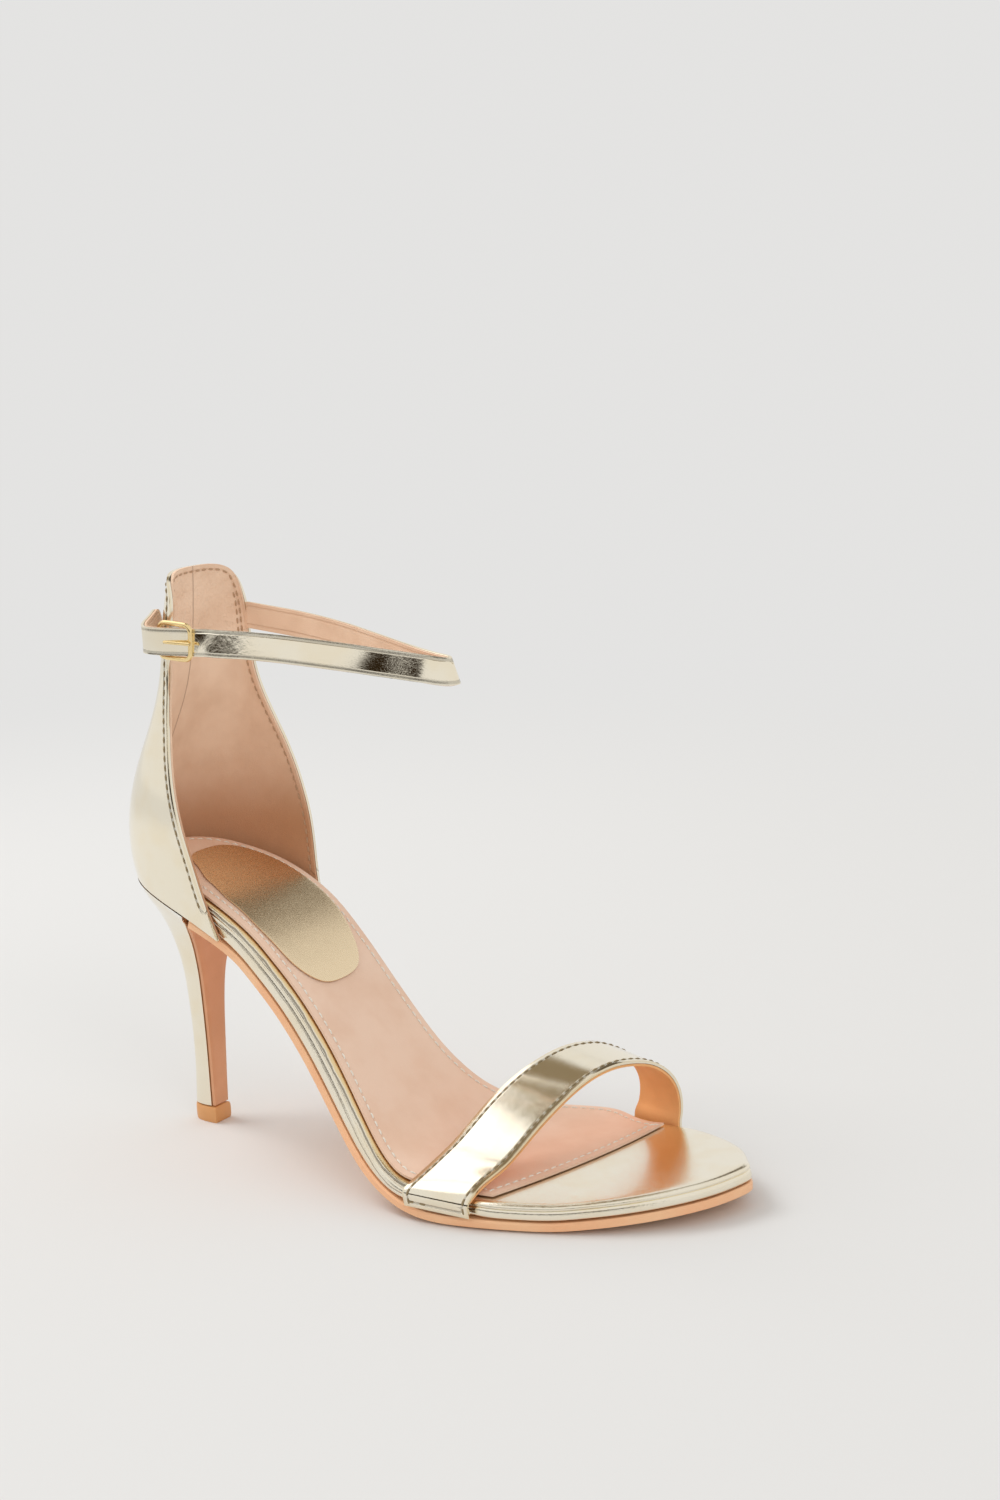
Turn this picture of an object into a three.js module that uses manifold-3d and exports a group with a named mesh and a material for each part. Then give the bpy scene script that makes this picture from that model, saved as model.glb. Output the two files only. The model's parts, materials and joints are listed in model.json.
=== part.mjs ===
// High-heeled ankle-strap sandal, right foot, in millimetres.
// X runs from the heel to the toe, Y to the wearer's left (the inner side of the foot), Z up.
// The origin is the centre of the heel tip's bottom face, on the ground.
import * as THREE from 'three';
import Module from 'manifold-3d';

const manifoldModule = await Module();
manifoldModule.setup();
const { Manifold, Mesh } = manifoldModule;

// Overall sizes
const LENGTH = 204;
const WIDTH = 80;
const SEAT_HEIGHT = 84;
const COUNTER_RISE = 93;
const VAMP_RISE = 36;

// Thicknesses and clearances
const GAP = 0.3;
const OUTSOLE_THICKNESS = 3.2;
const BOARD_WALL_WAIST = 4.9;
const BOARD_WALL_TOE = 3.2;
const BOARD_ROLL_WAIST = 2.3;
const BOARD_ROLL_TOE = 1.9;
const SOCK_THICKNESS = 0.9;
const PATCH_THICKNESS = 0.4;
const COUNTER_THICKNESS = 2;
const VAMP_THICKNESS = 1.7;
const BREAST_THICKNESS = 1.2;

// Heel tip
const TOP_PIECE_HEIGHT = 5.4;
const TOP_PIECE_MARGIN = 0.35;

// Ankle strap and buckle
const STRAP_WIDTH = 8;
const STRAP_THICKNESS = 1.5;
const WIRE_RADIUS = 0.85;
const BUCKLE_LENGTH = 12;
const BUCKLE_CORNER = 2.2;
const PRONG_RADIUS = 0.55;
const ELASTIC_THICKNESS = 0.9;
const ELASTIC_WIDTH = 5.8;

// Colours and finishes
const GOLD_FOIL = { color: 0xd9cca6, roughness: 0.25, metalness: 0.9 };
const SOLE_TAN = { color: 0xc98a5c, roughness: 0.55, metalness: 0 };
const LINING_PEACH = { color: 0xe6bd9f, roughness: 0.7, metalness: 0 };
const CARAMEL = { color: 0xc98f55, roughness: 0.5, metalness: 0 };
const BUCKLE_GOLD = { color: 0xe3c274, roughness: 0.2, metalness: 1 };
const ELASTIC_CREAM = { color: 0xeee4d2, roughness: 0.85, metalness: 0 };

// Lengthwise profile of the feather plane, where the upper wall meets the outsole.
// Columns: place as a share of LENGTH, height over the forefoot plane as a share of its rise.
const PROFILE = [
  [-0.1275, 1.0223],
  [-0.0882, 1.0025],
  [-0.0588, 0.9876],
  [0, 0.9554],
  [0.0588, 0.9109],
  [0.1225, 0.8441],
  [0.1814, 0.7574],
  [0.2451, 0.6275],
  [0.3039, 0.4653],
  [0.3676, 0.2748],
  [0.402, 0.1856],
  [0.4314, 0.12],
  [0.4608, 0.0705],
  [0.4902, 0.0359],
  [0.5245, 0.0111],
  [0.5686, 0],
  [0.7108, 0],
  [0.7745, 0.0136],
  [0.8431, 0.0322],
  [0.9412, 0.0619],
];

// Sideways tilt of the feather plane: the inner edge stands higher in the waist.
// Columns: place as a share of LENGTH, rise of the inner edge as a share of WIDTH.
const TILT = [
  [0.0588, 0],
  [0.2451, 0.014],
  [0.3676, 0.018],
  [0.4902, 0],
];

// Outline of the insole board in plan, from the heel to the toe.
// Columns: outer side x, outer side y, inner side x, inner side y (shares of LENGTH and WIDTH).
const BOARD_PLAN = [
  [-0.0539, 0, -0.0539, 0],
  [-0.0461, -0.0975, -0.0461, 0.0975],
  [-0.0181, -0.19, -0.0181, 0.19],
  [0.0245, -0.2425, 0.0245, 0.2425],
  [0.0735, -0.28, 0.0735, 0.2775],
  [0.1225, -0.2913, 0.1225, 0.285],
  [0.1765, -0.3, 0.1765, 0.2737],
  [0.2157, -0.3175, 0.2206, 0.245],
  [0.2647, -0.3325, 0.2696, 0.2175],
  [0.3137, -0.355, 0.3186, 0.2075],
  [0.3676, -0.3987, 0.3725, 0.22],
  [0.4167, -0.4525, 0.4216, 0.2675],
  [0.4608, -0.495, 0.4657, 0.3375],
  [0.5049, -0.5212, 0.5098, 0.4075],
  [0.549, -0.525, 0.5539, 0.46],
  [0.5931, -0.5125, 0.598, 0.49],
  [0.6373, -0.49, 0.6422, 0.4987],
  [0.6863, -0.455, 0.6863, 0.49],
  [0.7353, -0.41, 0.7304, 0.4612],
  [0.7843, -0.3525, 0.7721, 0.42],
  [0.8284, -0.2825, 0.8137, 0.37],
  [0.8676, -0.2, 0.8529, 0.3075],
  [0.8995, -0.105, 0.8873, 0.23],
  [0.9181, -0.0075, 0.9132, 0.1325],
];
const TOE_TIP = [0.926, 0.0775];

// Front edges and back line of the counter, by level.
// Columns: level over the seat as a share of COUNTER_RISE, outer edge x and y,
// inner edge x and y, back line x (shares of LENGTH and WIDTH).
const COUNTER_LEVELS = [
  [-0.2043, 0.1618, -0.3237, 0.1667, 0.3087, -0.0441],
  [-0.1559, 0.1485, -0.3237, 0.1593, 0.3125, -0.049],
  [-0.1075, 0.1382, -0.3225, 0.1539, 0.3175, -0.0539],
  [-0.043, 0.1275, -0.3237, 0.149, 0.325, -0.0618],
  [0, 0.1221, -0.3263, 0.1461, 0.3325, -0.0676],
  [0.0645, 0.1157, -0.3312, 0.1422, 0.3412, -0.073],
  [0.172, 0.1039, -0.3387, 0.1314, 0.3525, -0.0681],
  [0.2796, 0.0912, -0.3287, 0.1172, 0.3538, -0.0549],
  [0.3871, 0.0809, -0.305, 0.101, 0.3425, -0.0343],
  [0.4946, 0.0735, -0.2737, 0.0838, 0.32, -0.0088],
  [0.6022, 0.0686, -0.245, 0.0735, 0.29, 0.0137],
  [0.7097, 0.0696, -0.2288, 0.0706, 0.27, 0.0275],
  [0.8172, 0.0755, -0.2288, 0.0716, 0.2612, 0.0358],
  [0.9247, 0.0873, -0.2175, 0.073, 0.24, 0.0412],
  [1.0108, 0.0961, -0.2, 0.0745, 0.2175, 0.0441],
];
const COUNTER_SQUARENESS = 2.3;
const COUNTER_ROWS = 20;
const COUNTER_COLUMNS = 28;
const TAB_CORNER_DROP = 0.135;
const TAB_CORNER_POWER = 2.6;

// Heel block, from the tip to just under the seat.
// Columns: share of the height, breast x, full width, back x (shares of LENGTH and WIDTH).
const HEEL_LEVELS = [
  [0, 0.0191, 0.085, -0.0206],
  [0.12, 0.0201, 0.09, -0.0167],
  [0.25, 0.0216, 0.0975, -0.0142],
  [0.38, 0.0225, 0.1075, -0.0152],
  [0.5, 0.0235, 0.1225, -0.0172],
  [0.6, 0.0255, 0.145, -0.0201],
  [0.68, 0.0284, 0.1825, -0.0255],
  [0.76, 0.0338, 0.24, -0.0324],
  [0.83, 0.0412, 0.32, -0.0392],
  [0.89, 0.051, 0.4125, -0.0461],
  [0.94, 0.0627, 0.5062, -0.0534],
];
const HEEL_SEAT_BREAST = 0.0853;
const HEEL_SQUARENESS = 2.4;
const HEEL_COLUMNS = 24;

// Vamp strap edges between the feet that go down over the board wall.
// Columns: rear edge y and height, front edge y and height (shares of WIDTH and VAMP_RISE).
const VAMP_ARCH = [
  [-0.4487, 0.2789, -0.445, 0.2628],
  [-0.3125, 0.4306, -0.3375, 0.3417],
  [-0.1875, 0.625, -0.21, 0.5278],
  [-0.0625, 0.7806, -0.0813, 0.6889],
  [0.0625, 0.875, 0.0488, 0.8056],
  [0.1875, 0.9167, 0.1825, 0.8361],
  [0.3125, 0.8806, 0.3075, 0.7778],
  [0.4075, 0.7806, 0.38, 0.6972],
  [0.49, 0.6472, 0.435, 0.5861],
  [0.5363, 0.4917, 0.4688, 0.4528],
  [0.5463, 0.3361, 0.48, 0.3139],
  [0.5325, 0.2028, 0.475, 0.2028],
];
// Where the strap's edges meet the outsole: x on the outer and on the inner side.
const VAMP_REAR_FEET = [0.516, 0.6553];
const VAMP_FRONT_FEET = [0.6161, 0.7368];
const VAMP_RECESS = 1.2;
const VAMP_RECESS_DEEPER = 0.9;

// Sock lining: rear start, and the skewed front cut under the vamp strap.
const SOCK_INSET = 2.1;
const SOCK_FRONT_OUTER = 0.628;
const SOCK_FRONT_INNER = 0.724;
const SOCK_FRONT_BULGE = 0.014;

// Heel sock patch: a long oval on the sock.
// Columns: distance along as a share of its length, half width as a share of its width.
const PATCH_START = -0.034;
const PATCH_END = 0.268;
const PATCH_HALF_WIDTH = 0.212;
const PATCH_SIDE_SHIFT = 0.008;

// Ankle strap centre line from the tab's inner edge round the front fold to the buckle.
// Columns: x and y (shares of LENGTH and WIDTH), level over the seat (share of COUNTER_RISE).
const STRAP_ROUTE = [
  [0.1078, 0.2612, 0.7989],
  [0.1569, 0.25, 0.7882],
  [0.2157, 0.2225, 0.7742],
  [0.2745, 0.1812, 0.7591],
  [0.3333, 0.1363, 0.7398],
  [0.3922, 0.09, 0.7204],
  [0.4461, 0.0488, 0.7054],
  [0.4828, 0.0212, 0.6978],
  [0.498, 0.0112, 0.6946],
  [0.5059, -0.0063, 0.6925],
  [0.499, -0.0238, 0.6946],
  [0.4828, -0.0325, 0.6989],
  [0.4461, -0.0625, 0.714],
  [0.3922, -0.1125, 0.7333],
  [0.3333, -0.17, 0.7548],
  [0.2745, -0.2213, 0.7742],
  [0.2206, -0.2575, 0.786],
  [0.1814, -0.2787, 0.7914],
];
const STRAP_START_LEVEL = 0.81;
const STRAP_STEPS = 3;
// Middle of the buckle, and how far its front end sinks and swings out.
const BUCKLE_CENTRE = [0.1122, -0.3037, 0.7989];
const BUCKLE_SINK = 0.075;
const BUCKLE_SWING = 0.02;
// Strap inside the buckle and its free tail, in the buckle's own frame.
// Columns: along the buckle (share of its length), outward and upward (shares of STRAP_WIDTH).
const STRAP_IN_BUCKLE = [
  [0.5, -0.24, 0],
  [0.25, -0.15, 0],
  [0, 0.05, 0],
  [-0.25, 0.24, 0],
  [-0.5, 0.37, 0.01],
  [-0.675, 0.34, 0.03],
  [-0.817, 0.08, 0.08],
  [-0.942, -0.3, 0.15],
  [-1.067, -0.7, 0.22],
  [-1.217, -1.15, 0.31],
  [-1.367, -1.6, 0.4],
];

// Plain number helpers

function lerp(a, b, t) {
  return a + (b - a) * t;
}

// Slopes that keep a table's curve free of overshoot.
function tableSlopes(xs, ys) {
  const n = xs.length;
  const secants = [];
  for (let i = 0; i < n - 1; i += 1) {
    secants.push((ys[i + 1] - ys[i]) / (xs[i + 1] - xs[i]));
  }
  const slopes = [secants[0]];
  for (let i = 1; i < n - 1; i += 1) {
    const a = secants[i - 1];
    const b = secants[i];
    slopes.push(a * b <= 0 ? 0 : (2 * a * b) / (a + b));
  }
  slopes.push(secants[n - 2]);
  return slopes;
}

// Smooth function through the points (xs, ys), straight beyond the ends.
function curveThrough(xs, ys) {
  const slopes = tableSlopes(xs, ys);
  const last = xs.length - 1;
  return (x) => {
    if (x <= xs[0]) {
      return ys[0] + slopes[0] * (x - xs[0]);
    }
    if (x >= xs[last]) {
      return ys[last] + slopes[last] * (x - xs[last]);
    }
    let i = 0;
    while (x > xs[i + 1]) {
      i += 1;
    }
    const h = xs[i + 1] - xs[i];
    const t = (x - xs[i]) / h;
    const u = 1 - t;
    const value = ys[i] * (1 + 2 * t) * u * u + ys[i + 1] * t * t * (3 - 2 * t);
    return value + h * (slopes[i] * t * u * u - slopes[i + 1] * t * t * u);
  };
}

// Smooth points through a list of points, with extra steps in each span.
function smoothLine(points, steps, closed) {
  const n = points.length;
  const pick = (i) => (closed ? points[(i + n) % n] : points[Math.min(Math.max(i, 0), n - 1)]);
  const spans = closed ? n : n - 1;
  const result = [];
  for (let i = 0; i < spans; i += 1) {
    const [p0, p1, p2, p3] = [pick(i - 1), pick(i), pick(i + 1), pick(i + 2)];
    for (let k = 0; k < steps; k += 1) {
      const t = k / steps;
      result.push(p1.map((value, axis) => {
        const a = (p2[axis] - p0[axis]) / 2;
        const b = (p3[axis] - p1[axis]) / 2;
        const d = p2[axis] - value;
        return value + a * t + (3 * d - 2 * a - b) * t * t + (a + b - 2 * d) * t * t * t;
      }));
    }
  }
  if (!closed) {
    result.push(points[n - 1].slice());
  }
  return result;
}

const toVector = (p) => new THREE.Vector3(p[0], p[1], p[2]);

// The last shape on which the foot rests

const plateRise = SEAT_HEIGHT - OUTSOLE_THICKNESS;
const profileHeight = curveThrough(
  PROFILE.map((row) => row[0] * LENGTH),
  PROFILE.map((row) => row[1] * plateRise + OUTSOLE_THICKNESS),
);
const tiltRise = curveThrough(
  [...TILT.map((row) => row[0] * LENGTH), LENGTH],
  [...TILT.map((row) => row[1] * WIDTH), 0],
);

function tiltAt(x) {
  const inside = x > TILT[0][0] * LENGTH && x < TILT[3][0] * LENGTH;
  return inside ? tiltRise(x) : 0;
}

// Point at height h over the feather plane, square to the profile.
function onPlate(x, y, h) {
  const slope = (profileHeight(x + 0.5) - profileHeight(x - 0.5));
  const size = Math.hypot(1, slope);
  const z = profileHeight(x) + tiltAt(x) * (y / (WIDTH / 2));
  return [x - (slope / size) * h, y, z + h / size];
}

// Share of the way from the waist to the forefoot, for thicknesses that change there.
function forefootShare(x) {
  const t = (x / LENGTH - 0.3) / 0.25;
  const held = Math.min(Math.max(t, 0), 1);
  return held * held * (3 - 2 * held);
}

const boardWall = (x) => lerp(BOARD_WALL_WAIST, BOARD_WALL_TOE, forefootShare(x));
const boardRoll = (x) => lerp(BOARD_ROLL_WAIST, BOARD_ROLL_TOE, forefootShare(x));
const boardTop = (x) => boardWall(x) + boardRoll(x);

// Board outline as one closed loop: heel, outer side, toe, inner side.
const outerControls = BOARD_PLAN.map((row) => [row[0] * LENGTH, row[1] * WIDTH]);
const innerControls = BOARD_PLAN.slice(1).map((row) => [row[2] * LENGTH, row[3] * WIDTH]);
const tipControl = [TOE_TIP[0] * LENGTH, TOE_TIP[1] * WIDTH];
const boardLoop = smoothLine([...outerControls, tipControl, ...innerControls.reverse()], 2, true);
const loopHalf = boardLoop.length / 2;

// Width of the board outline at x on the outer (-1) or the inner (+1) side.
function outlineY(x, side) {
  const points = side < 0
    ? boardLoop.slice(1, loopHalf)
    : boardLoop.slice(loopHalf + 1).reverse();
  for (let i = 0; i < points.length - 1; i += 1) {
    const [a, b] = [points[i], points[i + 1]];
    if (x >= a[0] && x <= b[0]) {
      return lerp(a[1], b[1], (x - a[0]) / (b[0] - a[0]));
    }
  }
  return 0;
}

// The board is skived where the vamp strap is lasted over it.
function strapRecess(x, y) {
  const side = y < 0 ? 0 : 1;
  const rear = VAMP_REAR_FEET[side] * LENGTH;
  const front = VAMP_FRONT_FEET[side] * LENGTH;
  const margin = 5;
  const rise = Math.min(Math.max((x - rear + margin) / margin, 0), 1);
  const fall = Math.min(Math.max((front + margin - x) / margin, 0), 1);
  const t = Math.min(Math.max((x - rear) / (front - rear), 0), 1);
  return VAMP_RECESS * (Math.min(rise, fall) + VAMP_RECESS_DEEPER * 4 * t * (1 - t));
}

// Outline loop moved inwards by a distance that may change along it.
function insetLoop(loop, distance) {
  const n = loop.length;
  return loop.map((point, i) => {
    const before = loop[(i - 1 + n) % n];
    const after = loop[(i + 1) % n];
    const dx = after[0] - before[0];
    const dy = after[1] - before[1];
    const size = Math.hypot(dx, dy);
    const d = distance(point[0], point[1]);
    return [point[0] - (dy / size) * d, point[1] + (dx / size) * d];
  });
}

// Closed bodies

function geometryFrom(points, triangles) {
  const keys = new Map();
  const merged = [];
  const place = points.map((p) => {
    const key = p.map((value) => Math.round(value * 2000)).join(',');
    if (!keys.has(key)) {
      keys.set(key, merged.length);
      merged.push(p);
    }
    return keys.get(key);
  });
  const faces = triangles
    .map((t) => t.map((i) => place[i]))
    .filter((t) => t[0] !== t[1] && t[1] !== t[2] && t[0] !== t[2]);
  let volume = 0;
  faces.forEach(([a, b, c]) => {
    volume += toVector(merged[a]).dot(toVector(merged[b]).cross(toVector(merged[c])));
  });
  const ordered = volume < 0 ? faces.map(([a, b, c]) => [a, c, b]) : faces;
  const geometry = new THREE.BufferGeometry();
  geometry.setAttribute('position', new THREE.Float32BufferAttribute(merged.flat(), 3));
  geometry.setIndex(ordered.flat());
  return geometry;
}

// Skin between rings of equal size, closed by the two end faces.
// An end face joins the points of each ring in pairs, from side to side.
function skinRings(rings) {
  const n = rings[0].length;
  const triangles = [];
  for (let r = 0; r < rings.length - 1; r += 1) {
    for (let i = 0; i < n; i += 1) {
      const a = r * n + i;
      const b = r * n + ((i + 1) % n);
      triangles.push([a, b, b + n], [a, b + n, a + n]);
    }
  }
  const capPairs = (base, flip) => {
    for (let k = 0; k < Math.floor(n / 2); k += 1) {
      const quad = [k, k + 1, (n - k - 1) % n, (n - k) % n].map((i) => base + i);
      const halves = [[quad[0], quad[1], quad[2]], [quad[0], quad[2], quad[3]]];
      halves.forEach((t) => triangles.push(flip ? [t[0], t[2], t[1]] : t));
    }
  };
  capPairs(0, true);
  capPairs((rings.length - 1) * n, false);
  return geometryFrom(rings.flat(), triangles);
}

// Layers of a sole piece: each layer has a height and an inset from the outline.
function layeredPiece(loop, layers) {
  return skinRings(layers.map((layer) => {
    const ring = insetLoop(loop, layer.inset);
    return ring.map((p, i) => onPlate(p[0], p[1], layer.height(loop[i][0], loop[i][1])));
  }));
}

// Bar with a cross-section that follows a route of frames.
function sweep(frames, section) {
  const points = frames.map((frame) => section(frame).map((s) => [
    frame.at.x + frame.out.x * s[0] + frame.up.x * s[1],
    frame.at.y + frame.out.y * s[0] + frame.up.y * s[1],
    frame.at.z + frame.out.z * s[0] + frame.up.z * s[1],
  ]));
  return points;
}

function sweepOpen(frames, section) {
  const rings = sweep(frames, section);
  const n = rings[0].length;
  const triangles = [];
  for (let r = 0; r < rings.length - 1; r += 1) {
    for (let i = 0; i < n; i += 1) {
      const a = r * n + i;
      const b = r * n + ((i + 1) % n);
      triangles.push([a, b, b + n], [a, b + n, a + n]);
    }
  }
  const last = (rings.length - 1) * n;
  for (let i = 1; i < n - 1; i += 1) {
    triangles.push([0, i + 1, i], [last, last + i, last + i + 1]);
  }
  return geometryFrom(rings.flat(), triangles);
}

function sweepClosed(frames, section) {
  const rings = sweep(frames, section);
  const n = rings[0].length;
  const count = rings.length;
  const triangles = [];
  for (let r = 0; r < count; r += 1) {
    const next = ((r + 1) % count) * n;
    for (let i = 0; i < n; i += 1) {
      const k = (i + 1) % n;
      triangles.push([r * n + i, r * n + k, next + k], [r * n + i, next + k, next + i]);
    }
  }
  return geometryFrom(rings.flat(), triangles);
}

// Frames along a route: "up" stays close to the given direction.
function framesAlong(points, upward, closed) {
  const n = points.length;
  return points.map((p, i) => {
    const before = closed ? points[(i - 1 + n) % n] : points[Math.max(i - 1, 0)];
    const after = closed ? points[(i + 1) % n] : points[Math.min(i + 1, n - 1)];
    const along = after.clone().sub(before).normalize();
    const out = along.clone().cross(upward).normalize();
    const up = out.clone().cross(along).normalize();
    return { at: p, along, out, up };
  });
}

const ribbonSection = (thickness, width) => () => [
  [-thickness / 2, -width / 2],
  [thickness / 2, -width / 2],
  [thickness / 2, width / 2],
  [-thickness / 2, width / 2],
];

const roundSection = (radius, sides) => () => {
  const ring = [];
  for (let i = 0; i < sides; i += 1) {
    const angle = ((i + 0.5) / sides) * Math.PI * 2;
    ring.push([Math.cos(angle) * radius, Math.sin(angle) * radius]);
  }
  return ring;
};

// Outsole

function outsoleGeometry() {
  const start = HEEL_SEAT_BREAST * LENGTH + GAP;
  const inside = (p) => p[0] > start + 1;
  const outer = boardLoop.slice(1, loopHalf).filter(inside);
  const inner = boardLoop.slice(loopHalf + 1).filter(inside);
  const outerStart = [start, outlineY(start, -1)];
  const innerStart = [start, outlineY(start, 1)];
  const loop = [outerStart, ...outer, boardLoop[loopHalf], ...inner, innerStart];
  const heelEnd = (x) => (x < start + 0.5 ? 0 : 1);
  const counterStep = (x) => COUNTER_THICKNESS * Math.max(0, 1 - (x / LENGTH - 0.1) / 0.07);
  const edge = (extra) => (x) => heelEnd(x) * (extra - Math.min(counterStep(x), COUNTER_THICKNESS));
  const ring = (height, inset) => insetLoop(loop, inset).map((p, i) => {
    const x = loop[i][0] < start + 0.5 ? start : p[0];
    return onPlate(x, p[1], height(p[0], p[1]));
  });
  const rings = [
    ring(() => -OUTSOLE_THICKNESS, edge(1.2)),
    ring(() => -OUTSOLE_THICKNESS + 0.7, edge(0.35)),
    ring(() => -0.7, edge(0.1)),
    ring(() => -GAP / 2, edge(0.5)),
  ];
  const first = rings[0].length - 1;
  rings.forEach((points) => {
    [0, first].forEach((i) => {
      points[i][0] = start;
    });
  });
  return capStrips(rings);
}

// Same skin as skinRings, for a loop whose first and last points form a straight end.
function capStrips(rings) {
  const n = rings[0].length;
  const triangles = [];
  for (let r = 0; r < rings.length - 1; r += 1) {
    for (let i = 0; i < n; i += 1) {
      const a = r * n + i;
      const b = r * n + ((i + 1) % n);
      triangles.push([a, b, b + n], [a, b + n, a + n]);
    }
  }
  [0, (rings.length - 1) * n].forEach((base, end) => {
    for (let k = 0; k < Math.floor((n - 1) / 2); k += 1) {
      const quad = [k, k + 1, n - k - 2, n - k - 1].map((i) => base + i);
      const halves = [[quad[0], quad[1], quad[2]], [quad[0], quad[2], quad[3]]];
      halves.forEach((t) => triangles.push(end === 0 ? [t[0], t[2], t[1]] : t));
    }
  });
  return geometryFrom(rings.flat(), triangles);
}

// Insole board, wrapped: a wall, a crease, and a rounded roll at the top edge

function boardGeometry() {
  const recess = (inset) => (x, y) => inset + strapRecess(x, y);
  return layeredPiece(boardLoop, [
    { height: () => GAP / 2, inset: recess(0.9) },
    { height: () => 0.7, inset: recess(0.15) },
    { height: (x) => boardWall(x) * 0.5, inset: recess(0) },
    { height: (x) => boardWall(x) - 0.35, inset: recess(0.1) },
    { height: (x) => boardWall(x), inset: recess(0.5) },
    { height: (x) => boardWall(x) + 0.5, inset: recess(0.1) },
    { height: (x) => boardWall(x) + boardRoll(x) * 0.6, inset: recess(0.25) },
    { height: (x) => boardTop(x) - 0.25, inset: recess(1) },
    { height: boardTop, inset: recess(2) },
  ]);
}

// Sock lining

function sockLoop(inset) {
  const frontX = (y) => {
    const outer = outlineY(SOCK_FRONT_OUTER * LENGTH, -1);
    const inner = outlineY(SOCK_FRONT_INNER * LENGTH, 1);
    const t = Math.min(Math.max((y - outer) / (inner - outer), 0), 1);
    const bulge = SOCK_FRONT_BULGE * LENGTH * 4 * t * (1 - t);
    return lerp(SOCK_FRONT_OUTER, SOCK_FRONT_INNER, t) * LENGTH + bulge;
  };
  const shrunk = insetLoop(boardLoop, (x, y) => inset + 2.0 * strapRecess(x, y));
  const outer = shrunk.slice(1, loopHalf).filter((p) => p[0] < frontX(p[1]) - 2);
  const inner = shrunk.slice(loopHalf + 1).filter((p) => p[0] < frontX(p[1]) - 2);
  const steps = Math.max(outer.length, inner.length) - Math.min(outer.length, inner.length);
  const skive = VAMP_RECESS * 2.0;
  const yOuter = outlineY(SOCK_FRONT_OUTER * LENGTH, -1) + inset + skive;
  const yInner = outlineY(SOCK_FRONT_INNER * LENGTH, 1) - inset - skive;
  const front = [];
  const count = 6 + steps;
  for (let i = 0; i <= count; i += 1) {
    const y = lerp(yOuter, yInner, i / count);
    front.push([frontX(y) - (inset - SOCK_INSET), y]);
  }
  return { heel: shrunk[0], outer, front, inner };
}

function sockGeometry() {
  const low = GAP;
  const high = GAP + SOCK_THICKNESS;
  const layers = [[low, SOCK_INSET], [high - 0.2, SOCK_INSET], [high, SOCK_INSET + 0.35]];
  const rings = layers.map(([h, inset]) => {
    const parts = sockLoop(inset);
    const loop = [parts.heel, ...parts.outer, ...parts.front, ...parts.inner];
    return loop.map((p) => onPlate(p[0], p[1], boardTop(p[0]) + h));
  });
  const parts = sockLoop(SOCK_INSET);
  const outerCount = parts.outer.length;
  const innerCount = parts.inner.length;
  const frontCount = parts.front.length;
  const n = rings[0].length;
  const triangles = [];
  for (let r = 0; r < rings.length - 1; r += 1) {
    for (let i = 0; i < n; i += 1) {
      const a = r * n + i;
      const b = r * n + ((i + 1) % n);
      triangles.push([a, b, b + n], [a, b + n, a + n]);
    }
  }
  // Pairs from side to side; the longer side's extra points fan into the front edge.
  const left = [];
  const right = [];
  for (let k = 0; k <= outerCount; k += 1) {
    left.push(k);
  }
  for (let k = 0; k <= innerCount; k += 1) {
    right.push((n - k) % n);
  }
  const frontRing = [];
  for (let k = 0; k < frontCount; k += 1) {
    frontRing.push(outerCount + 1 + k);
  }
  const shorter = Math.min(left.length, right.length);
  const cap = (base, flip) => {
    const add = (a, b, c) => {
      const t = [base + a, base + b, base + c];
      triangles.push(flip ? [t[0], t[2], t[1]] : t);
    };
    for (let k = 0; k < shorter - 1; k += 1) {
      add(left[k], left[k + 1], right[k + 1]);
      add(left[k], right[k + 1], right[k]);
    }
    const extraLeft = left.slice(shorter - 1);
    const extraRight = right.slice(shorter - 1);
    const border = [...extraLeft, ...frontRing, ...extraRight.slice().reverse()];
    let i = 0;
    let j = border.length - 1;
    while (j - i > 1) {
      add(border[i], border[i + 1], border[j]);
      if (j - i > 2) {
        add(border[i + 1], border[j - 1], border[j]);
      }
      i += 1;
      j -= 1;
    }
  };
  cap(0, true);
  cap((rings.length - 1) * n, false);
  return geometryFrom(rings.flat(), triangles);
}

// Heel sock patch

function patchGeometry() {
  const start = PATCH_START * LENGTH;
  const end = PATCH_END * LENGTH;
  const middle = (start + end) / 2;
  const reach = (end - start) / 2;
  const count = 36;
  const rings = [[0, 0], [PATCH_THICKNESS - 0.1, 0], [PATCH_THICKNESS, 0.25]].map(([h, inset]) => {
    const ring = [];
    for (let i = 0; i < count; i += 1) {
      const angle = Math.PI - (i / count) * Math.PI * 2;
      const along = Math.sign(Math.cos(angle)) * Math.abs(Math.cos(angle)) ** 0.9;
      const across = Math.sign(Math.sin(angle)) * Math.abs(Math.sin(angle)) ** 0.62;
      const x = middle + along * (reach - inset);
      const half = PATCH_HALF_WIDTH * WIDTH - inset;
      const midline = (outlineY(x, -1) + outlineY(x, 1)) / 2;
      const y = -across * half + midline + PATCH_SIDE_SHIFT * WIDTH;
      ring.push(onPlate(x, y, boardTop(x) + SOCK_THICKNESS + 2 * GAP + h));
    }
    return ring;
  });
  return skinRings(rings);
}

// Counter: a closed heel cup with a rounded tab at the top of the back

const levelOf = COUNTER_LEVELS.map((row) => SEAT_HEIGHT + row[0] * COUNTER_RISE);
const counterColumn = (index, size) => curveThrough(
  levelOf,
  COUNTER_LEVELS.map((row) => row[index] * size),
);
const outerEdgeX = counterColumn(1, LENGTH);
const outerEdgeY = counterColumn(2, WIDTH);
const innerEdgeX = counterColumn(3, LENGTH);
const innerEdgeY = counterColumn(4, WIDTH);
const backLineX = counterColumn(5, LENGTH);

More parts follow.
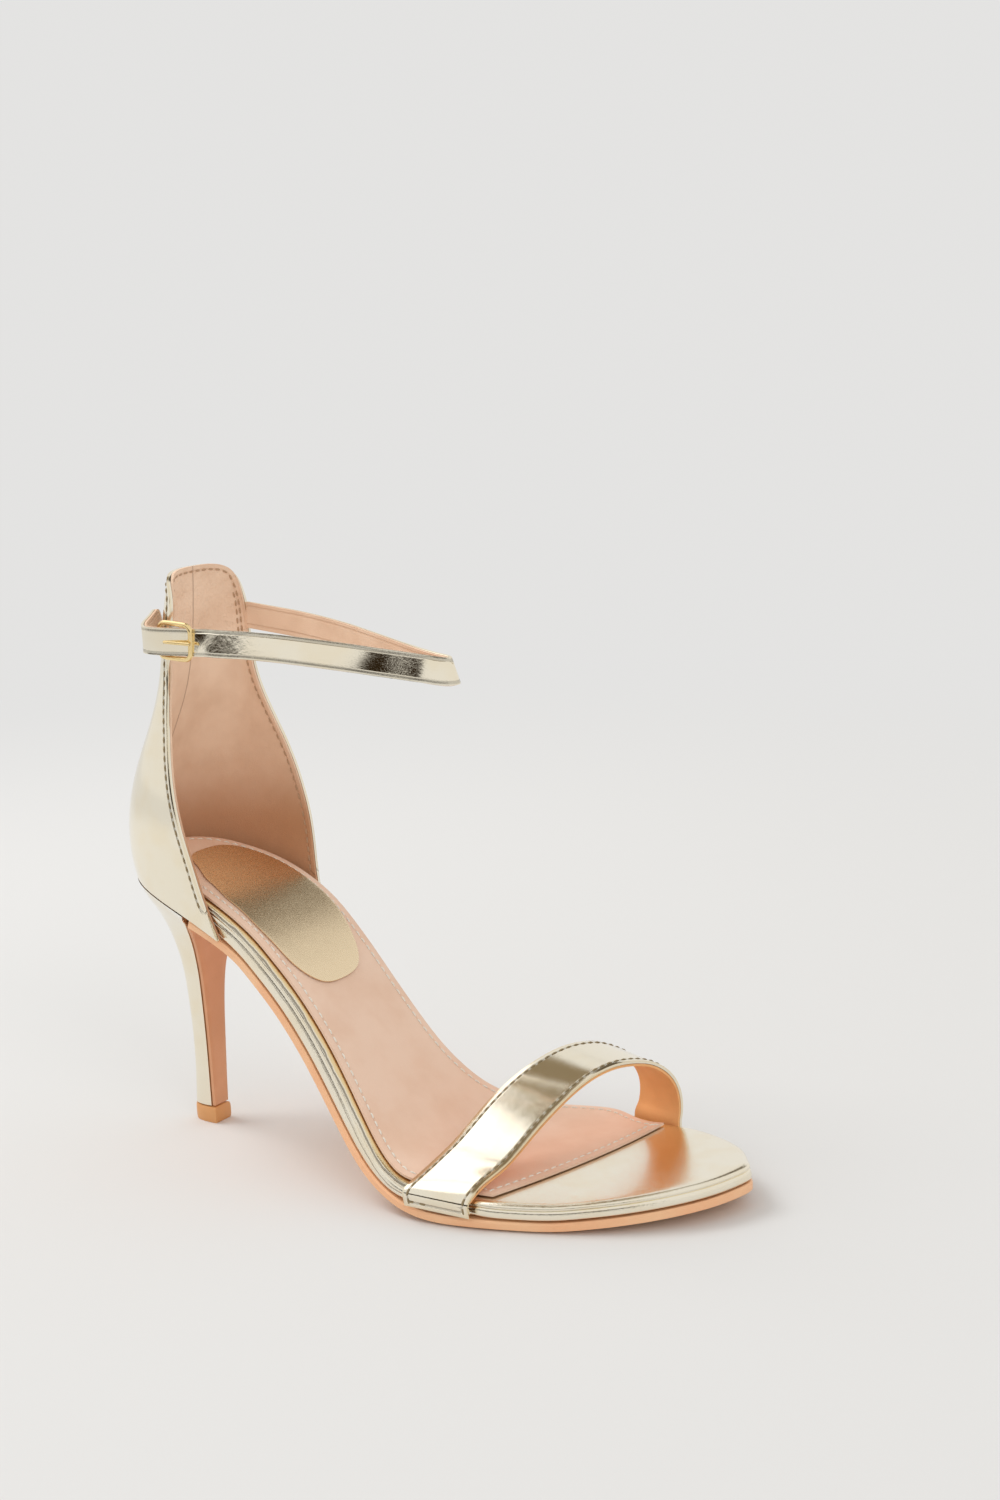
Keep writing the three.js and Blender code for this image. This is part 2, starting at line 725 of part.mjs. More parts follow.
// Point of the counter's outer surface: turn runs from -1 (outer edge) to 1 (inner edge).
function counterPoint(turn, z) {
  const angle = (Math.abs(turn) * Math.PI) / 2;
  const power = 2 / COUNTER_SQUARENESS;
  const edgeX = turn < 0 ? outerEdgeX(z) : innerEdgeX(z);
  const edgeY = turn < 0 ? outerEdgeY(z) : innerEdgeY(z);
  const back = backLineX(z);
  const cosine = Math.max(Math.cos(angle), 0) ** power;
  const sine = Math.sin(angle) ** power;
  return new THREE.Vector3(edgeX - (edgeX - back) * cosine, edgeY * sine, z);
}

// Level of the lower edge, where the counter stands on the heel and the outsole.
function counterBase(turn) {
  let z = SEAT_HEIGHT;
  for (let k = 0; k < 12; k += 1) {
    z = profileHeight(counterPoint(turn, z).x) + GAP;
  }
  return z;
}

function counterTop(turn) {
  const drop = TAB_CORNER_DROP * COUNTER_RISE;
  const round = 1 - Math.sqrt(Math.max(1 - Math.abs(turn) ** TAB_CORNER_POWER, 0));
  return SEAT_HEIGHT + COUNTER_RISE - drop * round;
}

function counterNormal(turn, z) {
  const step = 0.01;
  const before = Math.max(turn - step, -1);
  const after = Math.min(turn + step, 1);
  const around = counterPoint(after, z).sub(counterPoint(before, z));
  const upwards = counterPoint(turn, z + 0.5).sub(counterPoint(turn, z - 0.5));
  return around.cross(upwards).normalize();
}

function counterGeometry() {
  const outer = [];
  const inner = [];
  for (let r = 0; r <= COUNTER_ROWS; r += 1) {
    for (let c = 0; c <= COUNTER_COLUMNS; c += 1) {
      const turn = (c / COUNTER_COLUMNS) * 2 - 1;
      const z = lerp(counterBase(turn), counterTop(turn), r / COUNTER_ROWS);
      const point = counterPoint(turn, z);
      const normal = counterNormal(turn, z);
      const inward = normal.x * (point.x - LENGTH * 0.05) + normal.y * point.y > 0 ? -1 : 1;
      const flat = new THREE.Vector3(normal.x, normal.y, normal.z * 0.2).normalize();
      outer.push(point);
      inner.push(point.clone().addScaledVector(flat, inward * COUNTER_THICKNESS));
    }
  }
  const columns = COUNTER_COLUMNS + 1;
  const offset = outer.length;
  const points = [...outer, ...inner].map((p) => [p.x, p.y, p.z]);
  const triangles = [];
  const quad = (a, b, c, d) => triangles.push([a, b, c], [a, c, d]);
  for (let r = 0; r < COUNTER_ROWS; r += 1) {
    for (let c = 0; c < COUNTER_COLUMNS; c += 1) {
      const a = r * columns + c;
      quad(a, a + 1, a + 1 + columns, a + columns);
      quad(offset + a, offset + a + columns, offset + a + 1 + columns, offset + a + 1);
    }
  }
  for (let r = 0; r < COUNTER_ROWS; r += 1) {
    const a = r * columns;
    const b = a + COUNTER_COLUMNS;
    quad(a, a + columns, offset + a + columns, offset + a);
    quad(b, offset + b, offset + b + columns, b + columns);
  }
  const top = COUNTER_ROWS * columns;
  for (let c = 0; c < COUNTER_COLUMNS; c += 1) {
    quad(c, offset + c, offset + c + 1, c + 1);
    quad(top + c, top + c + 1, offset + top + c + 1, offset + top + c);
  }
  return geometryFrom(points, triangles);
}

// Half width of the seat outline at x, from the counter's lower edge.
function seatHalfWidth(x, side) {
  let low = 0;
  let high = 1;
  for (let k = 0; k < 30; k += 1) {
    const turn = (low + high) / 2;
    if (counterPoint(side * turn, counterBase(side * turn)).x < x) {
      low = turn;
    } else {
      high = turn;
    }
  }
  return counterPoint(side * low, counterBase(side * low)).y;
}

// Heel block

const heelBottom = TOP_PIECE_HEIGHT + GAP;

function heelRing(share, breastX, width, backX, onSeat) {
  const ring = [];
  const power = 2 / HEEL_SQUARENESS;
  for (let i = 0; i <= HEEL_COLUMNS; i += 1) {
    const angle = (i / HEEL_COLUMNS) * Math.PI - Math.PI / 2;
    const side = angle < 0 ? -1 : 1;
    const x = breastX - (breastX - backX) * Math.cos(angle) ** power;
    let y = side * Math.abs(Math.sin(angle)) ** power * (width / 2);
    if (onSeat) {
      y = seatHalfWidth(x, side) * (Math.abs(angle) < 0.01 ? 0 : 1);
    }
    const top = profileHeight(x) - GAP / 2;
    ring.push([x, y, lerp(heelBottom, top, share)]);
  }
  return ring;
}

function heelGeometry() {
  const rings = HEEL_LEVELS.map((row) => (
    heelRing(row[0], row[1] * LENGTH, row[2] * WIDTH, row[3] * LENGTH, false)
  ));
  const seatBack = counterPoint(0, counterBase(0)).x;
  rings.push(heelRing(1, HEEL_SEAT_BREAST * LENGTH, 0, seatBack, true));
  return capStrips(rings);
}

// Breast cover: the sole leather brought down over the front of the heel

function breastGeometry() {
  const rows = HEEL_LEVELS.map((row) => [row[0], row[1] * LENGTH, row[2] * WIDTH]);
  const seatX = HEEL_SEAT_BREAST * LENGTH;
  rows.push([0.985, lerp(rows[rows.length - 1][1], seatX, 0.8), rows[rows.length - 1][2] * 1.13]);
  const frames = rows.map(([share, x, width], index) => {
    const faceTop = profileHeight(x + GAP) - GAP / 2;
    const limit = profileHeight(x + 2 * BREAST_THICKNESS) - OUTSOLE_THICKNESS - 2 * GAP;
    const z = index === rows.length - 1 ? limit : lerp(heelBottom, faceTop, share);
    return { x, z: Math.min(z, limit), half: width / 2 - 0.2 };
  });
  const kept = frames.filter((f, i) => i === frames.length - 1 || f.z < frames[frames.length - 1].z - 1);
  const rings = kept.map((f) => [
    [f.x + GAP, -f.half, f.z],
    [f.x + GAP + BREAST_THICKNESS, -f.half, f.z],
    [f.x + GAP + BREAST_THICKNESS, f.half, f.z],
    [f.x + GAP, f.half, f.z],
  ]);
  return capStrips(rings);
}

// Top piece under the heel tip

function topPieceGeometry() {
  const [, breast, width, back] = HEEL_LEVELS[0];
  const ring = (z, margin) => heelRing(
    0,
    breast * LENGTH + BREAST_THICKNESS + GAP + margin,
    width * WIDTH + 2 * margin,
    back * LENGTH - margin,
    false,
  ).map(([x, y]) => [x, y, z]);
  return capStrips([
    ring(0, TOP_PIECE_MARGIN - 0.3),
    ring(0.6, TOP_PIECE_MARGIN),
    ring(TOP_PIECE_HEIGHT - 0.4, TOP_PIECE_MARGIN),
    ring(TOP_PIECE_HEIGHT, TOP_PIECE_MARGIN - 0.3),
  ]);
}

// Vamp strap

function vampFeet(x, side, plan) {
  const wall = outlineY(x, side) - side * strapRecess(x, side);
  const reach = wall + side * (GAP + VAMP_THICKNESS);
  const z = profileHeight(x);
  const rise = boardTop(x);
  const levels = [[0.3, 0.1], [0.4 * rise, 0.3], [1.02 * rise, 0.3]];
  const feet = levels.map(([h, bulge]) => [reach + side * bulge, z + h]);
  return plan === 'start' ? feet : feet.reverse();
}

function vampEdge(columnY, columnZ, feetX) {
  const start = vampFeet(feetX[0] * LENGTH, -1, 'start');
  const end = vampFeet(feetX[1] * LENGTH, 1, 'end');
  const arch = VAMP_ARCH.map((row) => [
    row[columnY] * WIDTH,
    OUTSOLE_THICKNESS + row[columnZ] * VAMP_RISE,
  ]);
  return smoothLine([...start, ...arch, ...end], 2, false);
}

function vampGeometry() {
  const rear = vampEdge(0, 1, VAMP_REAR_FEET);
  const front = vampEdge(2, 3, VAMP_FRONT_FEET);
  const place = (line, feetX) => {
    const first = line[0][0];
    const last = line[line.length - 1][0];
    return line.map(([y, z]) => {
      const t = (y - first) / (last - first);
      return new THREE.Vector3(lerp(feetX[0], feetX[1], t) * LENGTH, y, z);
    });
  };
  const rearLine = place(rear, VAMP_REAR_FEET);
  const frontLine = place(front, VAMP_FRONT_FEET);
  const count = rearLine.length;
  const rings = rearLine.map((r, i) => {
    const f = frontLine[i];
    const previous = Math.max(i - 1, 0);
    const next = Math.min(i + 1, count - 1);
    const across = f.clone().sub(r);
    const alongRear = rearLine[next].clone().sub(rearLine[previous]);
    const alongFront = frontLine[next].clone().sub(frontLine[previous]);
    const inRear = alongRear.cross(across).normalize();
    const inFront = alongFront.cross(across).normalize();
    const down = new THREE.Vector3(0, -r.y, 10 - r.z);
    const sign = inRear.dot(down) > 0 ? 1 : -1;
    const foot = i < 3 || i > count - 4;
    const push = (v) => (foot ? new THREE.Vector3(0, Math.sign(-r.y), 0) : v.multiplyScalar(sign));
    const rearIn = r.clone().addScaledVector(push(inRear), VAMP_THICKNESS);
    const frontIn = f.clone().addScaledVector(push(inFront), VAMP_THICKNESS);
    return [r, f, frontIn, rearIn].map((p) => [p.x, p.y, p.z]);
  });
  return capStrips(rings);
}

// Buckle frame of reference: along runs from the hinge bar to the front bar

const buckleMiddle = new THREE.Vector3(
  BUCKLE_CENTRE[0] * LENGTH,
  BUCKLE_CENTRE[1] * WIDTH,
  SEAT_HEIGHT + BUCKLE_CENTRE[2] * COUNTER_RISE,
);
const buckleAlong = new THREE.Vector3(1, -BUCKLE_SWING, -BUCKLE_SINK).normalize();
const buckleOut = buckleAlong.clone().cross(new THREE.Vector3(0, 0, 1)).normalize();
const buckleUp = buckleOut.clone().cross(buckleAlong).normalize();

function inBuckle(along, out, up) {
  return buckleMiddle.clone()
    .addScaledVector(buckleAlong, along)
    .addScaledVector(buckleOut, out)
    .addScaledVector(buckleUp, up);
}

const halfFrame = BUCKLE_LENGTH / 2;
const frameRise = STRAP_WIDTH / 2 + GAP + WIRE_RADIUS;

function buckleFrameGeometry() {
  const route = [];
  const corners = [[1, 1], [-1, 1], [-1, -1], [1, -1]];
  corners.forEach(([sx, sy], index) => {
    const cx = sx * (halfFrame - BUCKLE_CORNER);
    const cy = sy * (frameRise - BUCKLE_CORNER);
    for (let k = 0; k <= 4; k += 1) {
      const angle = ((index + k / 4) * Math.PI) / 2;
      route.push(inBuckle(
        cx + Math.cos(angle) * BUCKLE_CORNER,
        0,
        cy + Math.sin(angle) * BUCKLE_CORNER,
      ));
    }
  });
  const frames = framesAlong(route, buckleOut, true);
  return sweepClosed(frames, roundSection(WIRE_RADIUS, 8));
}

function prongGeometry() {
  const loop = WIRE_RADIUS + 0.25 + PRONG_RADIUS;
  const route = [];
  for (let k = 0; k <= 6; k += 1) {
    const angle = Math.PI * (1.05 + (k / 6) * 0.95);
    route.push([-halfFrame + Math.cos(angle) * loop, Math.sin(angle) * loop]);
  }
  const tip = WIRE_RADIUS + 0.2 + PRONG_RADIUS;
  route.push([-halfFrame + loop + 0.25, 1.2], [-halfFrame + loop + 1, 2.4]);
  route.push([-1.5, 2.85], [1.5, 2.55], [4, 2.05], [halfFrame - 0.2, tip], [halfFrame + 0.9, tip - 0.1]);
  const points = route.map(([along, out]) => inBuckle(along, out, 0));
  return sweepOpen(framesAlong(points, buckleUp, false), roundSection(PRONG_RADIUS, 8));
}

function manifoldFrom(geometry) {
  return new Manifold(new Mesh({
    numProp: 3,
    vertProperties: new Float32Array(geometry.getAttribute('position').array),
    triVerts: new Uint32Array(geometry.getIndex().array),
  }));
}

function geometryFromManifold(body) {
  const mesh = body.getMesh();
  const geometry = new THREE.BufferGeometry();
  geometry.setAttribute('position', new THREE.Float32BufferAttribute(mesh.vertProperties, 3));
  geometry.setIndex(new THREE.Uint32BufferAttribute(mesh.triVerts, 1));
  return geometry;
}

// Block between two corners, square to the buckle.
function buckleBlock(alongRange, outRange, upHalf) {
  const ring = (along) => [
    [outRange[0], -upHalf],
    [outRange[1], -upHalf],
    [outRange[1], upHalf],
    [outRange[0], upHalf],
  ].map(([out, up]) => inBuckle(along, out, up).toArray());
  return capStrips([ring(alongRange[0]), ring(alongRange[1])]);
}

// How far forward a front edge of the counter comes between two levels.
function furthestEdge(turn, z, reach) {
  return Math.max(...[-1, -0.5, 0, 0.5, 1].map((share) => counterPoint(turn, z + share * reach).x));
}

// Ankle strap: one leather ribbon, folded at the front, through the buckle to its tail

function strapRoute() {
  const startZ = SEAT_HEIGHT + STRAP_START_LEVEL * COUNTER_RISE;
  const edge = counterPoint(1, startZ);
  const startX = furthestEdge(1, startZ, STRAP_WIDTH / 2);
  const start = [startX + 3 * GAP, edge.y - COUNTER_THICKNESS / 2, startZ];
  const middle = STRAP_ROUTE.map((row) => [
    row[0] * LENGTH,
    row[1] * WIDTH,
    SEAT_HEIGHT + row[2] * COUNTER_RISE,
  ]);
  const end = STRAP_IN_BUCKLE.map(([along, out, up]) => (
    inBuckle(along * BUCKLE_LENGTH, out * STRAP_WIDTH, up * STRAP_WIDTH).toArray()
  ));
  return smoothLine([start, ...middle, ...end], STRAP_STEPS, false).map(toVector);
}

function ankleStrapGeometry() {
  const frames = framesAlong(strapRoute(), new THREE.Vector3(0, 0, 1), false);
  const ribbon = sweepOpen(frames, ribbonSection(STRAP_THICKNESS, STRAP_WIDTH));
  const slot = buckleBlock([-halfFrame + 0.5, -halfFrame + 4.6], [-1.5, 6], 1.1);
  return geometryFromManifold(manifoldFrom(ribbon).subtract(manifoldFrom(slot)));
}

// Elastic tab from the counter's outer edge round the hinge bar

function elasticGeometry() {
  const startZ = buckleMiddle.z + BUCKLE_SINK * halfFrame;
  const edge = counterPoint(-1, startZ);
  const hinge = inBuckle(-halfFrame, 0, 0);
  const wrap = WIRE_RADIUS + GAP + ELASTIC_THICKNESS / 2;
  const flat = (x, y) => new THREE.Vector3(x, y, startZ);
  const edgeY = edge.y + COUNTER_THICKNESS / 2;
  const edgeX = furthestEdge(-1, startZ, ELASTIC_WIDTH / 2);
  const turnX = Math.max(edgeX + 4, hinge.x + 2.4);
  const points = [
    flat(edgeX + GAP, edgeY),
    flat(edgeX + GAP + 1, edgeY),
    flat(lerp(edgeX, turnX, 0.7), edgeY - 0.25),
    flat(turnX - 0.2, edgeY - 1.3),
    flat(turnX, lerp(edgeY, hinge.y, 0.4)),
    flat(turnX - 0.4, lerp(edgeY, hinge.y, 0.65)),
  ];
  for (let k = 0; k <= 8; k += 1) {
    const angle = Math.PI * (0.1 - (k / 8) * 1.25);
    points.push(flat(hinge.x + Math.cos(angle) * wrap, hinge.y + Math.sin(angle) * wrap));
  }
  const frames = framesAlong(points, new THREE.Vector3(0, 0, 1), false);
  const band = sweepOpen(frames, ribbonSection(ELASTIC_THICKNESS, ELASTIC_WIDTH));
  const notch = buckleBlock([-halfFrame - 3.2, -halfFrame + 3.2], [-2.6, 4], 1);
  return geometryFromManifold(manifoldFrom(band).subtract(manifoldFrom(notch)));
}

// Assembly

const shoe = new THREE.Group();
shoe.name = 'sandal';

function add(name, geometry, finish) {
  geometry.computeVertexNormals();
  const mesh = new THREE.Mesh(geometry, new THREE.MeshStandardMaterial(finish));
  mesh.material.name = name;
  mesh.name = name;
  shoe.add(mesh);
}

add('top_piece', topPieceGeometry(), CARAMEL);
add('heel', heelGeometry(), GOLD_FOIL);
add('heel_breast_cover', breastGeometry(), SOLE_TAN);
add('outsole', outsoleGeometry(), SOLE_TAN);
add('insole_board', boardGeometry(), GOLD_FOIL);
add('sock_lining', sockGeometry(), LINING_PEACH);
add('heel_sock_patch', patchGeometry(), GOLD_FOIL);
add('counter', counterGeometry(), GOLD_FOIL);
add('vamp_strap', vampGeometry(), GOLD_FOIL);
add('ankle_strap', ankleStrapGeometry(), GOLD_FOIL);
add('buckle_tab', elasticGeometry(), ELASTIC_CREAM);
add('buckle_frame', buckleFrameGeometry(), BUCKLE_GOLD);
add('buckle_prong', prongGeometry(), BUCKLE_GOLD);

export default shoe;
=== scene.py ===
"""Strappy heeled sandal: the leather, thread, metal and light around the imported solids."""

import json
import math

import bmesh
import bpy
from mathutils import Matrix, Vector
from mathutils.bvhtree import BVHTree
from mathutils.kdtree import KDTree

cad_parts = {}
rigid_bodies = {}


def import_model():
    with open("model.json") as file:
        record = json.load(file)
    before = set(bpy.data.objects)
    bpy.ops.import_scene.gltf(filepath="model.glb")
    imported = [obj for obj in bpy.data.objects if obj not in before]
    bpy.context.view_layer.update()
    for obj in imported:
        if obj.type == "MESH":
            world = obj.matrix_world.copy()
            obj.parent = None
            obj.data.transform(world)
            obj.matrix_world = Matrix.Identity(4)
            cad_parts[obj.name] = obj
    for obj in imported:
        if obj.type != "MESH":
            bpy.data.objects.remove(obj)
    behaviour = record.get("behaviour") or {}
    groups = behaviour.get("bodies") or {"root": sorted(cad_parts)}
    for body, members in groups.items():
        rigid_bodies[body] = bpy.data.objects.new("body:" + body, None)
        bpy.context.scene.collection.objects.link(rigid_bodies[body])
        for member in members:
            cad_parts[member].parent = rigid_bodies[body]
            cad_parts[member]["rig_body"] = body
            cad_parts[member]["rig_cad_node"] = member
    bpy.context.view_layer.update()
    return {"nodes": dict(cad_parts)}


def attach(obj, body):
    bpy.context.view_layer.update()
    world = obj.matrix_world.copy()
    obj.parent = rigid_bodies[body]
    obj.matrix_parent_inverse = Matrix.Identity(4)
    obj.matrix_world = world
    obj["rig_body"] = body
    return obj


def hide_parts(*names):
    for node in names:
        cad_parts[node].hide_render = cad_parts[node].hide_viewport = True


bl_info = {
    "name": "Strappy Heeled Sandal",
    "version": (1, 0, 0),
    "blender": (4, 5, 0),
    "location": "3D View > Sidebar > Sandal",
    "description": "Builds the leather, stitching, buckle and stage of a strappy heeled sandal",
    "category": "Object",
}

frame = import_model()

MM = 0.001

# Middle line of the ankle strap in millimetres: from the counter's inner edge,
# round the front fold, through the buckle, to the free tail.
STRAP_LINE = [
    (12.6, 19.3, 159.75), (15.6, 19.96, 159.33), (19.35, 20.68, 158.68), (24.99, 20.78, 157.97),
    (32.01, 20.0, 157.3),
    (39.93, 18.66, 156.45), (48.0, 16.79, 155.55), (56.0, 14.5, 154.6), (63.99, 12.12, 153.41),
    (72.03, 9.66, 152.19), (80.01, 7.2, 151.0), (87.64, 4.91, 150.0), (93.92, 3.04, 149.3),
    (98.49, 1.7, 148.9), (100.83, 1.15, 148.67), (102.35, 0.47, 148.51), (103.2, -0.5, 148.4),
    (102.52, -1.49, 148.5), (100.99, -2.13, 148.68), (98.49, -2.6, 149.0), (93.91, -4.02, 149.87),
    (87.64, -6.19, 150.96), (80.01, -9.0, 152.2), (72.03, -12.08, 153.54), (63.96, -15.05, 154.84),
    (56.0, -17.7, 156.0), (48.41, -19.77, 156.8), (42.12, -21.31, 157.32), (37.01, -22.3, 157.6),
    (31.23, -22.45, 157.78), (27.53, -22.65, 157.93), (25.9, -23.16, 158.07), (23.89, -24.16, 158.22),
    (21.87, -25.21, 158.37), (19.86, -26.16, 158.52), (17.79, -26.92, 158.72), (16.08, -27.2, 158.92),
    (14.78, -26.85, 159.14), (13.66, -25.58, 159.48), (12.67, -23.8, 159.88), (11.76, -21.67, 160.34),
    (10.85, -19.56, 160.77), (9.83, -17.26, 161.28), (8.7, -14.81, 161.86), (7.46, -12.12, 162.49),
    (7.03, -11.18, 162.72),
]

# How far the ankle strap's face leans upwards: share of its length, degrees.
STRAP_LEANS = [
    (0.0, 0.0), (0.30, 0.0), (0.43, 16.0), (0.486, 16.0), (0.510, 8.5), (0.550, 7.5), (0.615, 14.5),
    (0.752, 15.5), (0.778, 9.5), (0.800, 9.5), (0.812, 13.0), (0.830, 6.0), (0.850, 0.0), (1.0, 0.0),
]

# Places where the ankle strap's foil is wrinkled from bending: share of its length, reach.
STRAP_CREASES = [(0.530, 0.024), (0.775, 0.045)]

# The foil patch's cut: how much of the solid's length it keeps from its front end, and
# how far its outer side reaches at each place along the shoe in metres, as a share.
PATCH_LENGTH = 0.85
PATCH_SIDES = [
    (0.0, 0.62), (0.010, 0.74), (0.020, 0.93), (0.030, 1.03), (0.045, 1.12), (0.055, 1.16), (0.070, 1.1),
]

# How a leather's or foil's red, green and blue change in its worn or folded places, and in its painted
# shade: along the foil's creases and low on the lining.
FOIL_WARM = (0.96, 0.87, 0.70)
FOIL_FOLDED = (0.86, 0.74, 0.5)
FOIL_ROLLED = (0.92, 0.74, 0.42)
FOIL_CREASE_SHADE = (0.26, 0.24, 0.22)
LINING_PAINTED_SHADE = (0.54, 0.33, 0.19)
SOLE_RUBBED = (1.18, 1.28, 1.4)
SOLE_SCUFFED = (0.85, 0.78, 0.7)
PATCH_RUBBED = (1.25, 1.3, 1.35)

# Lines on the leathers in millimetres: distance from the sock's edge or from the shoe's
# middle, half width and soft edge.
LOWER_CREASE = (2.6, 0.12, 0.25)
UPPER_CREASE = (4.9, 0.05, 0.2)
BACK_SEAM = (0.4, 0.07, 0.2)

# Stretches in millimetres over which a change comes in: the rolled rim from and to a
# distance from the sock, the seam's end along the shoe, and two heights of the lining: where its painted
# shade fades out upwards and where its tab's wrinkles begin.
RIM_FROM, RIM_TO = (0.3, 0.8), (1.7, 2.3)
SEAM_END = (12.0, 13.0)
PAINTED_SHADE_TOP = (90.0, 120.0)
TAB_WRINKLES = (146.0, 156.0)

# One stitch: its sides, its rings (place along it, thickness), how deep its ends dip and
# how far it stands out, both as shares of the thread's radius, and its flatness.
STITCH_SIDES = 6
STITCH_RINGS = ((-0.5, 0.35), (-0.38, 0.85), (0.0, 1.0), (0.38, 0.85), (0.5, 0.35))
STITCH_DIP = 0.9
STITCH_RISE = 0.35
STITCH_FLATNESS = 0.8

# Parts of the studio that the foil mirrors: azimuth, reach to each side and its soft
# edge, lowest and highest elevation and their soft edge (all in degrees), and the colour.
CARDS = [
    (-165.0, 62.0, 6.0, 68.7, 95.0, 1.2, (0.29, 0.225, 0.14)),
    (176.0, 36.0, 5.0, 38.0, 68.7, 1.0, (1.9, 1.9, 1.9)),
    (127.0, 10.0, 4.0, 51.0, 80.0, 4.0, (0.33, 0.26, 0.165)),
    (149.0, 13.0, 3.0, 66.0, 80.0, 1.0, (0.33, 0.26, 0.165)),
    (137.0, 6.0, 3.0, 57.0, 80.0, 3.0, (0.33, 0.26, 0.165)),
    (-90.0, 36.0, 8.0, -1.0, 11.5, 3.0, (0.030, 0.018, 0.007)),
    (97.0, 11.0, 8.0, 36.0, 60.0, 4.0, (0.16, 0.13, 0.09)),
]

# Middle of the buckle in millimetres, its directions along the strap and out from the
# ankle, and the slot for the prong: its place along, its half width and its stretch.
BUCKLE_MIDDLE = Vector((22.89, -24.3, 158.3))
BUCKLE_ALONG = Vector((0.9970, -0.0199, -0.0748))
BUCKLE_OUT = Vector((-0.0200, -0.9998, 0.0))
SLOT_ALONG = -3.45
SLOT_HALF_WIDTH = 0.0011
SLOT_STRETCH = 1.75
SLOT_DEPTH = 0.006

# Sizes in metres of the ankle strap's two layers: how far each lies outside the middle
# line, how thick it is, the foil's crown and the rounding of the tail.
STRAP_FOIL_LIFT = 0.0007
STRAP_FOIL_WALL = 0.0008
STRAP_LINING_LIFT = -0.0001
STRAP_LINING_WALL = 0.00062
STRAP_CROWN = 0.00004
STRAP_TIP = 0.0035
STRAP_COLUMNS = 8
STRAP_MARGIN_SHARE = 0.75
STRAP_STITCH_SHARE = 0.85

# Rounding of cut edges in metres, from the heel's rim to the elastic.
HEEL_ROUND = 0.0004
EDGE_ROUND = 0.0003
VAMP_ROUND = 0.00025
THIN_ROUND = 0.0002
ELASTIC_ROUND = 0.0001

# Rows beside the counter's edge, as shares of the margin.
TAB_ROW = 2.1
FLAP_ROW = 3.2

# Place along the shoe, in metres, up to which the wrapped board's creases follow the sock.
RIM_END = 0.112

# Step in metres between the points that an edge is measured from, and the value in
# millimetres for a surface without an edge.
EDGE_STEP = 0.0007
NO_EDGE = 99.0

# The lamps: name, azimuth, elevation, distance and size in metres, share of the key light.
LAMPS = [
    ("key_light", -172.0, 52.5, 2.2, 1.15, 1.0),
    ("fill_light", -30.0, 35.0, 2.6, 1.0, 0.3),
]
LIT_POINT = Vector((0.09, 0.0, 0.06))
FLOOR_SIZE = 12.0
FLOOR_FADE = (300.0, 900.0)

# The camera: place in metres, turn round the shoe, tilt and roll in degrees, and the
# focal length in pixels of a picture that is 1500 pixels high.
CAMERA_PLACE = Vector((0.45718, -0.52539, 0.24937))
CAMERA_TURN, CAMERA_TILT, CAMERA_ROLL = 32.86, 11.10, -3.21
CAMERA_FOCUS = 2268.25
PICTURE_HEIGHT = 1500.0
SENSOR = 36.0


def colour(name, description, value):
    return bpy.props.FloatVectorProperty(
        name=name, description=description, default=value, subtype="COLOR", size=3, min=0.0, max=1.0
    )


def number(name, description, value, **kind):
    return bpy.props.FloatProperty(name=name, description=description, default=value, min=0.0, **kind)


def length(name, description, value):
    return number(name, description, value, subtype="DISTANCE", unit="LENGTH")


class SandalFinish(bpy.types.PropertyGroup):
    """Colours of the leathers, thread and metal."""

    foil: colour("Foil", "Pale gold foil leather", (0.90, 0.835, 0.69))
    patch: colour("Patch", "Brushed gold foil of the heel patch", (0.84, 0.67, 0.45))
    lining: colour("Lining", "Peach lining leather", (0.95, 0.69, 0.505))
    vamp_lining: colour("Toe strap lining", "Warm lining leather under the toe strap", (0.98, 0.52, 0.22))
    sock: colour("Sock", "Sock leather under the foot", (0.92, 0.665, 0.51))
    sole: colour("Sole", "Tan leather of the outsole", (0.96, 0.52, 0.28))
    breast: colour("Breast", "Leather over the front of the heel", (0.72, 0.35, 0.18))
    rubber: colour("Top piece", "Moulded piece under the heel tip", (0.74, 0.36, 0.135))
    buckle: colour("Buckle", "Plated wire of the buckle", (0.93, 0.71, 0.36))
    elastic: colour("Elastic", "Woven elastic of the tab", (0.84, 0.77, 0.66))
    foil_thread: colour("Foil thread", "Thread on the foil leather", (0.34, 0.25, 0.13))
    lining_thread: colour("Lining thread", "Thread on the lining", (0.60, 0.37, 0.22))
    sock_thread: colour("Sock thread", "Thread on the sock", (1.0, 0.93, 0.82))


class SandalStitching(bpy.types.PropertyGroup):
    """Sizes of the stitches and of the leather layers."""

    stitch: length("Stitch length", "Length of one stitch", 0.0021)
    pitch: length("Stitch pitch", "Distance from one stitch to the next", 0.0028)
    thread: length("Thread", "Thickness of the thread", 0.0006)
    margin: length("Margin", "Distance of a topstitch row from its folded edge", 0.0016)
    sock_margin: length("Sock margin", "Distance of the sock's row from its edge", 0.0026)
    strap_width: length("Strap width", "Width of the ankle strap", 0.008)
    outer: length("Outer leather", "Thickness of the foil leather with its stiffener", 0.00105)
    lining: length("Lining", "Thickness of the lining leather", 0.00075)


class SandalStage(bpy.types.PropertyGroup):
    """The floor and the light."""

    floor: colour("Floor", "Pale floor and backdrop", (0.77, 0.765, 0.755))
    matt_share: number("Matt share", "Share of the sky's light on matt surfaces", 0.84, subtype="FACTOR")
    backdrop: colour("Backdrop", "Colour of the far floor and wall", (0.775, 0.77, 0.76))
    paper: colour("Sky colour", "Colour of the pale walls all round", (1.0, 0.99, 0.97))
    key: number("Key light", "Power of the large light", 20.0, unit="POWER")
    sky: number("Sky", "Strength of the light all round", 0.86)


